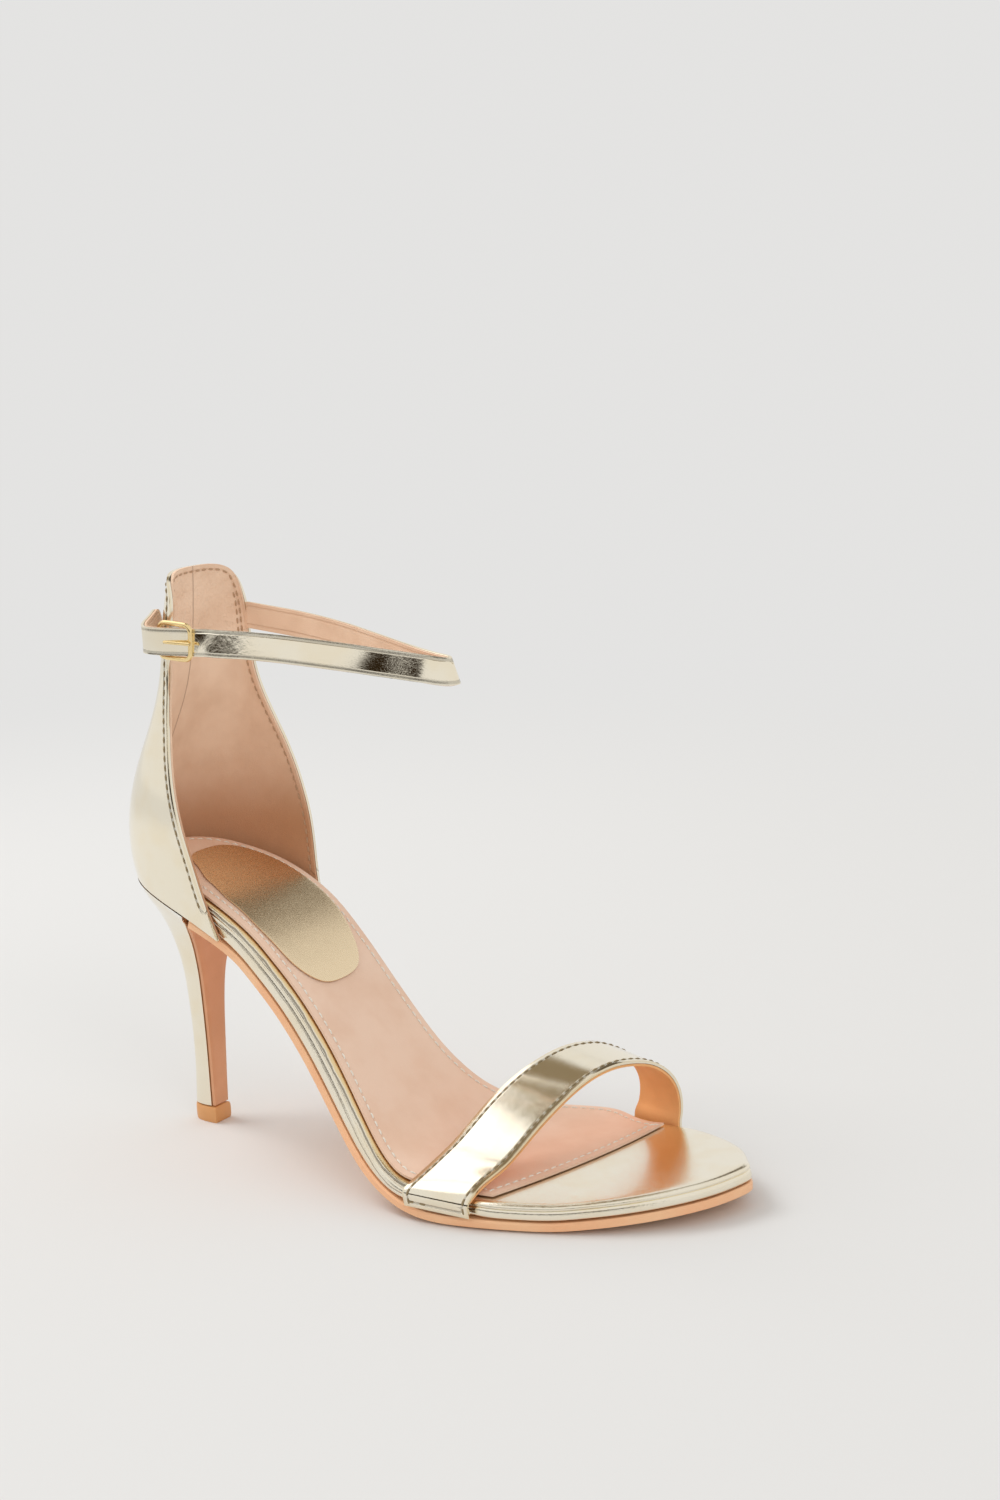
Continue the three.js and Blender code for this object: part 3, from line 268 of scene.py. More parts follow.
class Wire:
    """A socket in a node tree that takes part in sums."""

    def __init__(self, graph, socket):
        self.graph = graph
        self.socket = socket

    def math(self, operation, *others):
        values = dict(enumerate((self, *others)))
        return self.graph.node("ShaderNodeMath", {"operation": operation}, values)

    def __add__(self, other):
        return self.math("ADD", other)

    __radd__ = __add__

    def __mul__(self, other):
        return self.math("MULTIPLY", other)

    __rmul__ = __mul__

    def __sub__(self, other):
        return self.math("SUBTRACT", other)

    def __rsub__(self, other):
        return self.graph.node("ShaderNodeMath", {"operation": "SUBTRACT"}, {0: other, 1: self})

    def between(self, low, high):
        """0 below low, 1 above high, eased in between."""
        limits = {"Value": self, "From Min": low, "From Max": high}
        return self.graph.node("ShaderNodeMapRange", {"interpolation_type": "SMOOTHSTEP"}, limits)

    def line(self, place, half, soft):
        """1 on a line at that place, 0 away from it."""
        return 1 - (self - place).math("ABSOLUTE").between(half, half + soft)


class Graph:
    """A node tree that is written as expressions."""

    def __init__(self, tree):
        self.tree = tree
        tree.nodes.clear()

    def node(self, kind, settings=None, values=None, out=0):
        made = self.tree.nodes.new(kind)
        for name, value in (settings or {}).items():
            setattr(made, name, value)
        for name, value in (values or {}).items():
            socket = made.inputs[name]
            if isinstance(value, Wire):
                self.tree.links.new(value.socket, socket)
            elif socket.type == "RGBA" and len(value) == 3:
                socket.default_value = (*value, 1.0)
            else:
                socket.default_value = value
        return Wire(self, made.outputs[out]) if len(made.outputs) else None

    def place(self, scale=(1.0, 1.0, 1.0)):
        """Object coordinates in millimetres, stretched by scale."""
        at = self.node("ShaderNodeTexCoord", out=3)
        size = tuple(1000.0 * s for s in scale)
        return self.node("ShaderNodeMapping", {"vector_type": "POINT"}, {"Vector": at, "Scale": size})

    def noise(self, where, scale, detail=3.0, rough=0.55):
        values = {"Vector": where, "Scale": scale, "Detail": detail, "Roughness": rough}
        return self.node("ShaderNodeTexNoise", {}, values)

    def cells(self, where, scale):
        values = {"Vector": where, "Scale": scale}
        return self.node("ShaderNodeTexVoronoi", {"feature": "DISTANCE_TO_EDGE"}, values)

    def mix(self, share, a, b):
        return self.node("ShaderNodeMix", {"data_type": "RGBA"}, {"Factor": share, 6: a, 7: b}, out=2)

    def height(self, value):
        """A relief given in millimetres."""
        return self.node("ShaderNodeBump", {}, {"Height": value, "Distance": MM, "Strength": 1.0})

    def marked(self, name):
        return self.node("ShaderNodeAttribute", {"attribute_name": name}, {}, out=2)

    def surface(self, values):
        shader = self.node("ShaderNodeBsdfPrincipled", {}, values)
        self.node("ShaderNodeOutputMaterial", {}, {"Surface": shader})


def toned(shade, *factors):
    """A colour with its channels multiplied by one factor or by three."""
    return tuple(min(c * k, 1.0) for c, k in zip(shade, factors * 3 if len(factors) == 1 else factors))


def finish_named(name):
    made = bpy.data.materials.new(name)
    made.use_nodes = True
    return made, Graph(made.node_tree)


def foil_finish(name, margin, grain=1.0, wrinkle=0.0, creased=False, rough=0.06):
    """Mirror-bright foil over fine leather grain, with a pressed line under the topstitch, darkened with
    painted shade. Creased, the board's crease lines are pressed in and darkened with painted shade too.
    """
    made, g = finish_named(name)
    at = g.place()
    edge = g.marked("edge_mm")
    cells = g.cells(at, 2.6)
    fine = g.noise(at, 3.2, 4.0)
    slow = g.noise(at, 0.09, 2.0)
    groove = edge.line(margin / MM, 0.12, 0.3)
    fold = 1 - edge.between(0.1, 0.9)
    relief = cells.between(0.0, 0.22) * 0.014 + fine * 0.016
    relief = relief * grain - groove * 0.16 + slow * 0.03
    if wrinkle:
        crackle = g.noise(at, 0.55, 5.0, 0.65)
        relief = relief + crackle * (g.marked("flex") * wrinkle + wrinkle * 0.05)
    if creased:
        beside = g.marked("from_sock") + g.noise(at, 0.16, 3.0) * 1.2 - 0.6
        lower = beside.line(*LOWER_CREASE)
        upper = beside.line(*UPPER_CREASE) * 0.7
        rolled = beside.between(*RIM_FROM) * (1 - beside.between(*RIM_TO))
        relief = relief - lower * 0.3 - upper * 0.2
    shade = tuple(bpy.context.scene.sandal_finish.foil)
    warm = toned(shade, *FOIL_WARM)
    tint = g.mix(slow.between(0.42, 0.72) * 0.3, shade, warm)
    # Painted shade: the pressed line under the topstitch is darkened in colour.
    tint = g.mix(groove * 0.55, tint, toned(shade, 0.45))
    tint = g.mix(fold * 0.35, tint, toned(shade, *FOIL_FOLDED))
    if creased:
        tint = g.mix(rolled * 0.8, tint, toned(shade, *FOIL_ROLLED))
        # Painted shade: the board's crease lines are darkened in colour as well as pressed in.
        tint = g.mix((lower + upper) * 0.8, tint, toned(shade, *FOIL_CREASE_SHADE))
    g.surface(
        {
            "Base Color": tint,
            "Metallic": 1.0,
            "Roughness": rough + fine * rough + groove * 0.2,
            "Normal": g.height(relief),
            "Coat Weight": 0.25,
            "Coat Roughness": 0.08,
        }
    )
    return made


def leather_finish(name, shade, grain=1.0, rough=0.55, line=None, dark=0.82, seam=False):
    """Matt leather with fine grain, cloudy colour and a pressed line under its stitches, darkened with
    painted shade.

    With seam it has the counter's back seam, painted shade that darkens its foot, and a wrinkled tab.
    """
    made, g = finish_named(name)
    at = g.place()
    cells = g.cells(at, 2.2)
    fine = g.noise(at, 2.8, 5.0, 0.6)
    slow = g.noise(at, 0.07, 3.0)
    relief = (cells.between(0.0, 0.3) * 0.03 + fine * 0.035) * grain + slow * 0.25
    shade = tuple(shade)
    deep = toned(shade, dark, dark * 0.9, dark * 0.82)
    tint = g.mix(slow.between(0.35, 0.75) * 0.6, shade, deep)
    tint = g.mix((1 - cells.between(0.0, 0.12)) * 0.12, tint, deep)
    if line is not None:
        edge = g.marked("edge_mm")
        groove = edge.line(line / MM, 0.1, 0.35)
        relief = relief - groove * 0.15
        # Painted shade in the pressed groove; the leather is also darker within half a millimetre of its
        # edge.
        tint = g.mix(groove * 0.5 + (1 - edge.between(0.0, 0.5)) * 0.3, tint, deep)
    if seam:
        along, across, upward = (g.node("ShaderNodeSeparateXYZ", {}, {0: at}, out=k) for k in range(3))
        joint = across.line(*BACK_SEAM) * (1 - along.between(*SEAM_END))
        relief = relief - joint * 0.22
        tint = g.mix(joint * 0.55, tint, toned(deep, 0.6))
        # Painted shade: the lining is darkened towards its foot, low in the shoe's cup.
        painted_shade = 1 - upward.between(*PAINTED_SHADE_TOP)
        tint = g.mix(painted_shade * 0.8, tint, toned(shade, *LINING_PAINTED_SHADE))
        relief = relief + g.noise(at, 0.25, 3.0) * upward.between(*TAB_WRINKLES) * 1.3
    g.surface(
        {
            "Base Color": tint,
            "Roughness": rough + fine * 0.15,
            "Normal": g.height(relief),
            "Specular IOR Level": 0.4,
        }
    )
    return made


def sole_finish(name, shade, rough=0.42):
    """Smooth tan leather, rubbed paler here and there, with fine lengthwise scuffs."""
    made, g = finish_named(name)
    at = g.place()
    slow = g.noise(at, 0.05, 3.0)
    scuffs = g.noise(g.place((0.12, 1.0, 1.0)), 1.6, 4.0)
    shade = tuple(shade)
    pale = toned(shade, *SOLE_RUBBED)
    deep = toned(shade, *SOLE_SCUFFED)
    tint = g.mix(slow.between(0.4, 0.7) * 0.5, shade, pale)
    tint = g.mix(scuffs.between(0.55, 0.8) * 0.25, tint, deep)
    relief = scuffs * 0.03 + g.noise(at, 2.5, 3.0) * 0.02
    g.surface(
        {
            "Base Color": tint,
            "Roughness": rough + scuffs * 0.12,
            "Normal": g.height(relief),
            "Coat Weight": 0.15,
            "Coat Roughness": 0.3,
        }
    )
    return made


def rubber_finish(name, shade):
    made, g = finish_named(name)
    at = g.place()
    fine = g.noise(at, 3.0, 4.0)
    shade = tuple(shade)
    tint = g.mix(g.noise(at, 0.2, 2.0).between(0.4, 0.7) * 0.3, shade, toned(shade, 0.88))
    g.surface({"Base Color": tint, "Roughness": 0.42 + fine * 0.12, "Normal": g.height(fine * 0.04)})
    return made


def patch_finish(name, shade):
    """Foil with a fine rubbed grain that runs across it."""
    made, g = finish_named(name)
    rubbed = g.noise(g.place((0.55, 1.0, 1.0)), 2.4, 6.0, 0.7)
    slow = g.noise(g.place(), 0.05, 2.0)
    shade = tuple(shade)
    pale = toned(shade, *PATCH_RUBBED)
    tint = g.mix(rubbed.between(0.35, 0.65) * 0.3, shade, pale)
    g.surface(
        {
            "Base Color": tint,
            "Metallic": 1.0,
            "Roughness": 0.20 + rubbed * 0.14,
            "Normal": g.height(rubbed * 0.035 + slow * 0.2),
        }
    )
    return made


def metal_finish(name, shade):
    made, g = finish_named(name)
    worn = g.noise(g.place(), 0.9, 4.0)
    shade = tuple(shade)
    tint = g.mix(worn.between(0.45, 0.75) * 0.4, shade, toned(shade, 0.85))
    relief = g.height(worn * 0.02)
    g.surface({"Base Color": tint, "Metallic": 1.0, "Roughness": 0.1 + worn * 0.12, "Normal": relief})
    return made


def elastic_finish(name, shade):
    """Woven elastic: ribs along its length, fine picks across."""
    made, g = finish_named(name)
    at = g.place()
    upward = g.node("ShaderNodeSeparateXYZ", {}, {0: at}, out=2)
    ribs = (upward * (2 * math.pi / 0.62)).math("SINE") * 0.5 + 0.5
    picks = g.noise(g.place((2.2, 2.2, 0.4)), 3.0, 3.0)
    shade = tuple(shade)
    tint = g.mix(ribs * 0.6, toned(shade, 0.72), shade)
    g.surface({"Base Color": tint, "Roughness": 0.85, "Normal": g.height(ribs * 0.14 + picks * 0.05)})
    return made


def thread_finish(name, shade):
    made, g = finish_named(name)
    twist = g.noise(g.place(), 5.0, 2.0)
    shade = tuple(shade)
    tint = g.mix(twist.between(0.35, 0.65), toned(shade, 0.75), shade)
    g.surface({"Base Color": tint, "Roughness": 0.55, "Normal": g.height(twist * 0.04)})
    return made


def only(obj):
    """Selects and activates one object and nothing else."""
    if bpy.context.object and bpy.context.object.mode != "OBJECT":
        bpy.ops.object.mode_set(mode="OBJECT")
    bpy.ops.object.select_all(action="DESELECT")
    obj.select_set(True)
    bpy.context.view_layer.objects.active = obj
    return obj


def copy_of(node, name):
    """A copy of a solid of the frame, welded, with its triangles paired into quads."""
    solid = frame["nodes"][node]
    only(solid)
    bpy.ops.object.duplicate()
    made = bpy.context.object
    made.name = made.data.name = name
    made.parent = None
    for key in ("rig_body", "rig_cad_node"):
        if key in made:
            del made[key]
    made.matrix_world = Matrix.Identity(4)
    only(made)
    made.data.materials.clear()
    if made.data.has_custom_normals:
        bpy.ops.mesh.customdata_custom_splitnormals_clear()
    bpy.ops.object.mode_set(mode="EDIT")
    bpy.ops.mesh.select_all(action="SELECT")
    bpy.ops.mesh.remove_doubles(threshold=0.00001)
    bpy.ops.mesh.tris_convert_to_quads(face_threshold=math.radians(60), shape_threshold=math.radians(70))
    bpy.ops.object.mode_set(mode="OBJECT")
    return made


def crease(obj, angle):
    """Creases the edges where the surface turns by more than an angle in degrees."""
    only(obj)
    bpy.ops.object.mode_set(mode="EDIT")
    bpy.ops.mesh.select_mode(type="EDGE")
    bpy.ops.mesh.select_all(action="DESELECT")
    bpy.ops.mesh.edges_select_sharp(sharpness=math.radians(angle))
    bpy.ops.transform.edge_crease(value=1.0)
    bpy.ops.object.mode_set(mode="OBJECT")


def modify(obj, kind, **settings):
    only(obj)
    made = obj.modifiers.new(kind.title(), kind)
    for key, value in settings.items():
        setattr(made, key, value)
    bpy.ops.object.modifier_apply(modifier=made.name)


def smoothed(obj, levels=2):
    modify(obj, "SUBSURF", levels=levels, render_levels=levels)


def rounded(obj, width, segments=2, angle=35):
    modify(
        obj, "BEVEL", width=width, segments=segments, limit_method="ANGLE",
        angle_limit=math.radians(angle), use_clamp_overlap=True, harden_normals=False,
    )


def patches(obj, angle):
    """The faces in groups that are joined without a sharp turn, largest area first."""
    limit = math.radians(angle)
    mesh = bmesh.new()
    mesh.from_mesh(obj.data)
    mesh.faces.ensure_lookup_table()
    seen = set()
    groups = []
    for start in mesh.faces:
        if start.index in seen:
            continue
        group = []
        todo = [start]
        seen.add(start.index)
        while todo:
            face = todo.pop()
            group.append(face)
            for edge in face.edges:
                if len(edge.link_faces) != 2 or edge.calc_face_angle(0.0) > limit:
                    continue
                for other in edge.link_faces:
                    if other.index not in seen:
                        seen.add(other.index)
                        todo.append(other)
        groups.append((sum(f.calc_area() for f in group), sorted(f.index for f in group)))
    mesh.free()
    groups.sort(key=lambda g: -g[0])
    return [members for _, members in groups]


def take_faces(obj, members, name):
    """Cuts a group of faces out of obj into a new object."""
    only(obj)
    chosen = set(members)
    bpy.ops.object.mode_set(mode="EDIT")
    bpy.ops.mesh.select_mode(type="FACE")
    bpy.ops.mesh.select_all(action="DESELECT")
    bpy.ops.object.mode_set(mode="OBJECT")
    for face in obj.data.polygons:
        face.select = face.index in chosen
    bpy.ops.object.mode_set(mode="EDIT")
    bpy.ops.mesh.separate(type="SELECTED")
    bpy.ops.object.mode_set(mode="OBJECT")
    made = [o for o in bpy.context.selected_objects if o is not obj][0]
    made.name = made.data.name = name
    return made


def thickened(obj, thickness, even=True):
    """Gives an open skin a wall behind its outward side."""
    modify(
        obj, "SOLIDIFY", thickness=thickness, offset=-1.0, use_even_offset=even,
        use_quality_normals=True,
    )


def border(obj, wanted=None):
    """Border of an open skin, or of its wanted faces, as lines of (point, inward, normal)."""
    mesh = bmesh.new()
    mesh.from_mesh(obj.data)
    mesh.faces.ensure_lookup_table()
    inside = set(f.index for f in mesh.faces) if wanted is None else set(wanted)
    steps = {}
    facts = {}
    for edge in mesh.edges:
        faces = [f for f in edge.link_faces if f.index in inside]
        if len(faces) != 1:
            continue
        face = faces[0]
        a, b = edge.verts
        for loop in face.loops:
            if loop.edge is edge:
                a, b = loop.vert, loop.link_loop_next.vert
        steps[a.index] = b.index
        along = (b.co - a.co).normalized()
        facts[a.index] = (a.co.copy(), face.normal.cross(along).normalized(), face.normal.copy())
    lines = []
    while steps:
        start = next(iter(steps))
        line = [facts[start]]
        at = steps.pop(start)
        while at in steps:
            line.append(facts[at])
            at = steps.pop(at)
        line.append(facts[start] if at == start else line[-1])
        lines.append(line)
    mesh.free()
    lines.sort(key=lambda l: -len(l))
    return lines


def parts_of(lines, keep):
    """The stretches of border lines whose points pass a test."""
    parts = []
    for line in lines:
        parts.append([])
        for place in line:
            if keep(place[0]):
                parts[-1].append(place)
            elif parts[-1]:
                parts.append([])
    return [part for part in parts if len(part) > 1]


def mark_edge(obj, lines, name="edge_mm"):
    """Stores each point's distance from the lines, in millimetres."""
    points = []
    for line in lines:
        for (p, _, _), (q, _, _) in zip(line, line[1:]):
            count = max(1, int((q - p).length / EDGE_STEP))
            points.extend(p.lerp(q, i / count) for i in range(count))
    tree = KDTree(max(len(points), 1))
    for i, p in enumerate(points):
        tree.insert(p, i)
    tree.balance()
    if name in obj.data.attributes:
        obj.data.attributes.remove(obj.data.attributes[name])
    marked = obj.data.attributes.new(name, "FLOAT", "POINT")
    for i, vertex in enumerate(obj.data.vertices):
        marked.data[i].value = tree.find(vertex.co)[2] / MM if points else NO_EDGE


def along_table(table, place):
    """Value of a table at a place, eased from each entry to the next."""
    place = min(max(place, table[0][0]), table[-1][0])
    for (start, low), (end, high) in zip(table, table[1:]):
        if place <= end:
            t = (place - start) / (end - start)
            return low + (high - low) * t * t * (3 - 2 * t)


def surface_of(obj):
    return BVHTree.FromPolygons(
        [v.co.copy() for v in obj.data.vertices], [list(p.vertices) for p in obj.data.polygons]
    )


def shifted(line, inset, keep):
    """Lines that run beside a border at a distance, broken where keep says no."""
    parts = [[]]
    count = len(line)
    for i in range(count):
        near = [line[j] for j in range(max(i - 2, 0), min(i + 3, count))]
        inward = sum((n[1] for n in near), Vector())
        point = line[i][0]
        if keep and not keep(point):
            if parts[-1]:
                parts.append([])
            continue
        parts[-1].append(point + inward.normalized() * inset)
    return [p for p in parts if len(p) > 2]


def rows_beside(lines, inset, keep=None):
    """Rows at a distance beside each of the border lines."""
    return [row for line in lines for row in shifted(line, inset, keep)]


def above_board(p):
    """On the counter's edge where it stands free of the board."""
    return p.z > 0.0875 or (p.z > 0.078 and p.x > 0.02)


def on_tab(p):
    """On the side of the counter's tab that carries the ankle strap."""
    return 0.150 < p.z < 0.169 and p.y > 0.0


def on_flap(p):
    """On the counter's tab beside the buckle."""
    return p.z > 0.148 and p.y < -0.01


def above_sole(p):
    """On the toe strap's edge where it shows above the sole."""
    return p.z > 0.0042


def off_counter(p):
    """On the ankle strap's edge where it lies free of the counter's tab."""
    return p.x > 0.017 or p.y < 0


def behind_toes(p):
    """On the sock's edge behind its cut at the toes."""
    return p.x < RIM_END


def even_points(line, pitch):
    """Points at an even distance along a line, each with its direction."""
    total = sum((b - a).length for a, b in zip(line, line[1:]))
    count = int(total / pitch)
    if count < 1:
        return []
    gap = total / count
    found = []
    walked = 0.0
    target = gap / 2
    for a, b in zip(line, line[1:]):
        span = (b - a).length
        while target <= walked + span and span > 0:
            found.append((a.lerp(b, (target - walked) / span), (b - a).normalized()))
            target += gap
        walked += span
    return found


def stitch_shape(length_m, radius):
    """One stitch as rings of a rounded bar along X that dips at both ends."""
    rings = []
    for share, size in STITCH_RINGS:
        lift = -radius * STITCH_DIP * (2 * abs(share)) ** 2.5
        wide, tall = radius * size, radius * size * STITCH_FLATNESS
        rings.append([
            Vector((share * length_m, math.cos(t) * wide, math.sin(t) * tall + lift))
            for t in (k * 2 * math.pi / STITCH_SIDES for k in range(STITCH_SIDES))
        ])
    return rings


def sew(name, lines, skin, finish, lift=0.0, size=1.0, behind=False):
    """Rows of stitches that lie on a surface, or behind it, along lines."""
    sizes = bpy.context.scene.sandal_stitching
    radius = sizes.thread / 2
    shape = stitch_shape(sizes.stitch * size, radius)
    points, faces = [], []
    for line in lines:
        for at, along in even_points(line, sizes.pitch * size):
            found = skin.find_nearest(at)
            if found[0] is None:
                continue
            spot, normal = found[0], found[1]
            if behind:
                normal = -normal
            side = normal.cross(along).normalized()
            along = side.cross(normal).normalized()
            centre = spot + normal * (lift + radius * STITCH_RISE)
            base = len(points)
            for ring in shape:
                points.extend(centre + along * p.x + side * p.y + normal * p.z for p in ring)
            last = base + (len(shape) - 1) * STITCH_SIDES
            for ring in range(base, last, STITCH_SIDES):
                for k in range(STITCH_SIDES):
                    a, b = ring + k, ring + (k + 1) % STITCH_SIDES
                    faces.append((a, b, b + STITCH_SIDES, a + STITCH_SIDES))
            faces.append(tuple(base + k for k in reversed(range(STITCH_SIDES))))
            faces.append(tuple(last + k for k in range(STITCH_SIDES)))
    data = bpy.data.meshes.new(name)
    data.from_pydata([tuple(p) for p in points], [], faces)
    made = bpy.data.objects.new(name, data)
    bpy.context.scene.collection.objects.link(made)
    only(made)
    bpy.ops.object.mode_set(mode="EDIT")
    bpy.ops.mesh.select_all(action="SELECT")
    bpy.ops.mesh.normals_make_consistent(inside=False)
    bpy.ops.object.mode_set(mode="OBJECT")
    dress(made, finish, None)
    return made


def dress(obj, finish, slot, *nodes, angle=40):
    """Gives a finished piece its material, its smooth shading and its place on the frame."""
    only(obj)
    obj.data.materials.clear()
    obj.data.materials.append(finish)
    bpy.ops.object.shade_smooth_by_angle(angle=math.radians(angle))
    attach(obj, "root")
    if nodes:
        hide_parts(*nodes)
    return obj


def line_points(table, steps):
    """Smooth points in metres through a table in millimetres."""
    rows = [Vector(row) * MM for row in table]
    found = []
    for i in range(len(rows) - 1):
        a, b = rows[max(i - 1, 0)], rows[i]
        c, d = rows[i + 1], rows[min(i + 2, len(rows) - 1)]
        for k in range(steps):
            t = k / steps
            m0, m1 = (c - a) / 2, (d - b) / 2
            found.append(
                b * (2 * t**3 - 3 * t**2 + 1) + m0 * (t**3 - 2 * t**2 + t)
                + c * (3 * t**2 - 2 * t**3) + m1 * (t**3 - t**2)
            )
    found.append(rows[-1])
    return found


def strap_roll(share):
    """How far the ankle strap's face leans upwards, in radians, along its length."""
    return math.radians(along_table(STRAP_LEANS, share))


def strap_flex(share):
    """How wrinkled the strap's foil is along its length, from 0 to 1."""
    return min(sum(math.exp(-(((share - place) / reach) ** 2)) for place, reach in STRAP_CREASES), 1.0)


def ribbon(name, route, width, lift, crown):
    """An open leather band along a route, laid from a grid: lift moves it outwards."""
    rows, columns = len(route), STRAP_COLUMNS
    bpy.ops.object.select_all(action="DESELECT")
    bpy.ops.mesh.primitive_grid_add(x_subdivisions=rows - 1, y_subdivisions=columns, size=1.0)
    made = bpy.context.object
    made.name = made.data.name = name
    uv = made.data.uv_layers.active
    travelled = [0.0]
    for a, b in zip(route, route[1:]):
        travelled.append(travelled[-1] + (b - a).length)
    places, flex = {}, {}
    for vertex in made.data.vertices:
        row = round((vertex.co.x + 0.5) * (rows - 1))
        column = round((vertex.co.y + 0.5) * columns)
        along = (route[min(row + 1, rows - 1)] - route[max(row - 1, 0)]).normalized()
        out = Vector((0, 0, 1)).cross(along).normalized()
        up = along.cross(out).normalized()
        turn = strap_roll(travelled[row] / travelled[-1])
        out, up = (
            out * math.cos(turn) + up * math.sin(turn),
            up * math.cos(turn) - out * math.sin(turn),
        )
        across = (column / columns) * 2 - 1
        bulge = crown * (1 - across * across)
        left = travelled[-1] - travelled[row]
        narrow = math.sqrt(max(1 - max(1 - left / STRAP_TIP, 0.0) ** 2, 0.02))
        places[vertex.index] = (travelled[row] / MM, across * width / 2 / MM)
        vertex.co = route[row] + up * across * narrow * width / 2 + out * (lift + bulge)
        flex[vertex.index] = strap_flex(travelled[row] / travelled[-1])
    for loop in made.data.loops:
        uv.data[loop.index].uv = places[loop.vertex_index]
    marked = made.data.attributes.new("flex", "FLOAT", "POINT")
    for index, value in flex.items():
        marked.data[index].value = value
    return made


def punch_slot(obj):
    """Cuts the slot that the prong comes out of right through a layer of the strap."""
    middle = (BUCKLE_MIDDLE + BUCKLE_ALONG * SLOT_ALONG) * MM
    bpy.ops.object.select_all(action="DESELECT")
    bpy.ops.mesh.primitive_cylinder_add(
        vertices=24, radius=SLOT_HALF_WIDTH, depth=SLOT_DEPTH, location=middle
    )
    punched = bpy.context.object
    across = BUCKLE_OUT.cross(BUCKLE_ALONG).normalized()
    turn = Matrix((BUCKLE_ALONG * SLOT_STRETCH, across, BUCKLE_OUT)).transposed()
    punched.matrix_world = Matrix.Translation(middle) @ turn.to_4x4()
    bpy.context.view_layer.update()
    modify(obj, "BOOLEAN", object=punched, operation="DIFFERENCE", solver="EXACT")
    bpy.data.objects.remove(punched)


def finish_of(kind):
    """Each material is made once and shared by its pieces."""
    colours = bpy.context.scene.sandal_finish
    sizes = bpy.context.scene.sandal_stitching
    strap_margin = sizes.margin * STRAP_MARGIN_SHARE
    recipes = {
        "foil": (foil_finish, "gold_foil_leather", sizes.margin, 0.16),
        "foil_strap": (foil_finish, "gold_foil_strap", strap_margin, 0.2, 0.16, False, 0.05),
        "foil_board": (foil_finish, "gold_foil_wrap", 0.03, 0.6, 0.0, True),
        "vamp_lining": (leather_finish, "vamp_lining_leather", colours.vamp_lining, 1.0, 0.6),
        "counter_lining": (
            leather_finish, "counter_lining_leather", colours.lining, 1.0, 0.6, sizes.margin, 0.82, True,
        ),
        "strap_lining": (leather_finish, "strap_lining_leather", colours.lining, 1.0, 0.6, strap_margin),
        "sock": (leather_finish, "sock_leather", colours.sock, 0.8, 0.5, sizes.sock_margin, 0.9),
        "sole": (sole_finish, "tan_sole_leather", colours.sole),
        "breast": (sole_finish, "tan_breast_leather", colours.breast, 0.5),
        "rubber": (rubber_finish, "caramel_rubber", colours.rubber),
        "patch": (patch_finish, "brushed_gold_patch", colours.patch),
        "buckle": (metal_finish, "polished_gold_plate", colours.buckle),
        "elastic": (elastic_finish, "cream_elastic", colours.elastic),
        "foil_thread": (thread_finish, "gold_thread", colours.foil_thread),
        "sock_thread": (thread_finish, "cream_thread", colours.sock_thread),
        "lining_thread": (thread_finish, "tan_thread", colours.lining_thread),
    }
    key = "made_" + kind
    found = bpy.data.materials.get(bpy.context.scene.get(key, ""))
    if found is None:
        maker, *values = recipes[kind]
        found = maker(*values)
        bpy.context.scene[key] = found.name
    return found


def dressed_copy(node, name, turn, finish, slot, levels=2, width=0.0, segments=2, angle=40):
    """A solid's copy, creased where it turns sharply, smoothed, its edges rounded, and dressed."""
    piece = copy_of(node, name)
    crease(piece, turn)
    smoothed(piece, levels)
    if width:
        rounded(piece, width, segments)
    return dress(piece, finish_of(finish), slot, node, angle=angle)


class SANDAL_OT_heel(bpy.types.Operator):
    """Covers the heel block and makes the breast cover and the top piece"""

    bl_idname = "sandal.heel"
    bl_label = "Heel"

    def execute(self, context):
        heel = dressed_copy(
            "heel", "heel_cover", 40, "foil", "gold_foil_leather", width=HEEL_ROUND, segments=3
        )
        mark_edge(heel, [])
        dressed_copy("heel_breast_cover", "breast_leather", 40, "breast", "sole_tan", width=EDGE_ROUND)
        dressed_copy("top_piece", "tip_piece", 60, "rubber", "caramel_rubber", 1, EDGE_ROUND)
        return {"FINISHED"}


class SANDAL_OT_sole(bpy.types.Operator):
    """Makes the outsole and the wrapped insole board"""

    bl_idname = "sandal.sole"
    bl_label = "Sole"

    def execute(self, context):
        dressed_copy("outsole", "outsole_leather", 40, "sole", "sole_tan")
        board = dressed_copy(
            "insole_board", "wrapped_board", 75, "foil_board", "gold_foil_leather", angle=60
        )
        mark_edge(board, [])
        return {"FINISHED"}


def cut_patch(patch, surface):
    """Draws the patch's back end forward and its outer side to its cut, at its height above the sock."""
    down = Vector((0.0, 0.0, -1.0))
    front = max(v.co.x for v in patch.data.vertices)
    for vertex in patch.data.vertices:
        x, y, z = vertex.co
        old = surface.ray_cast(Vector((x, y, 1.0)), down)[0]
        x = front - (front - x) * PATCH_LENGTH
        if y < 0.0:
            y *= along_table(PATCH_SIDES, x)
        new = surface.ray_cast(Vector((x, y, 1.0)), down)[0]
        if old and new:
            vertex.co = (x, y, z - old.z + new.z)
    patch.data.update()


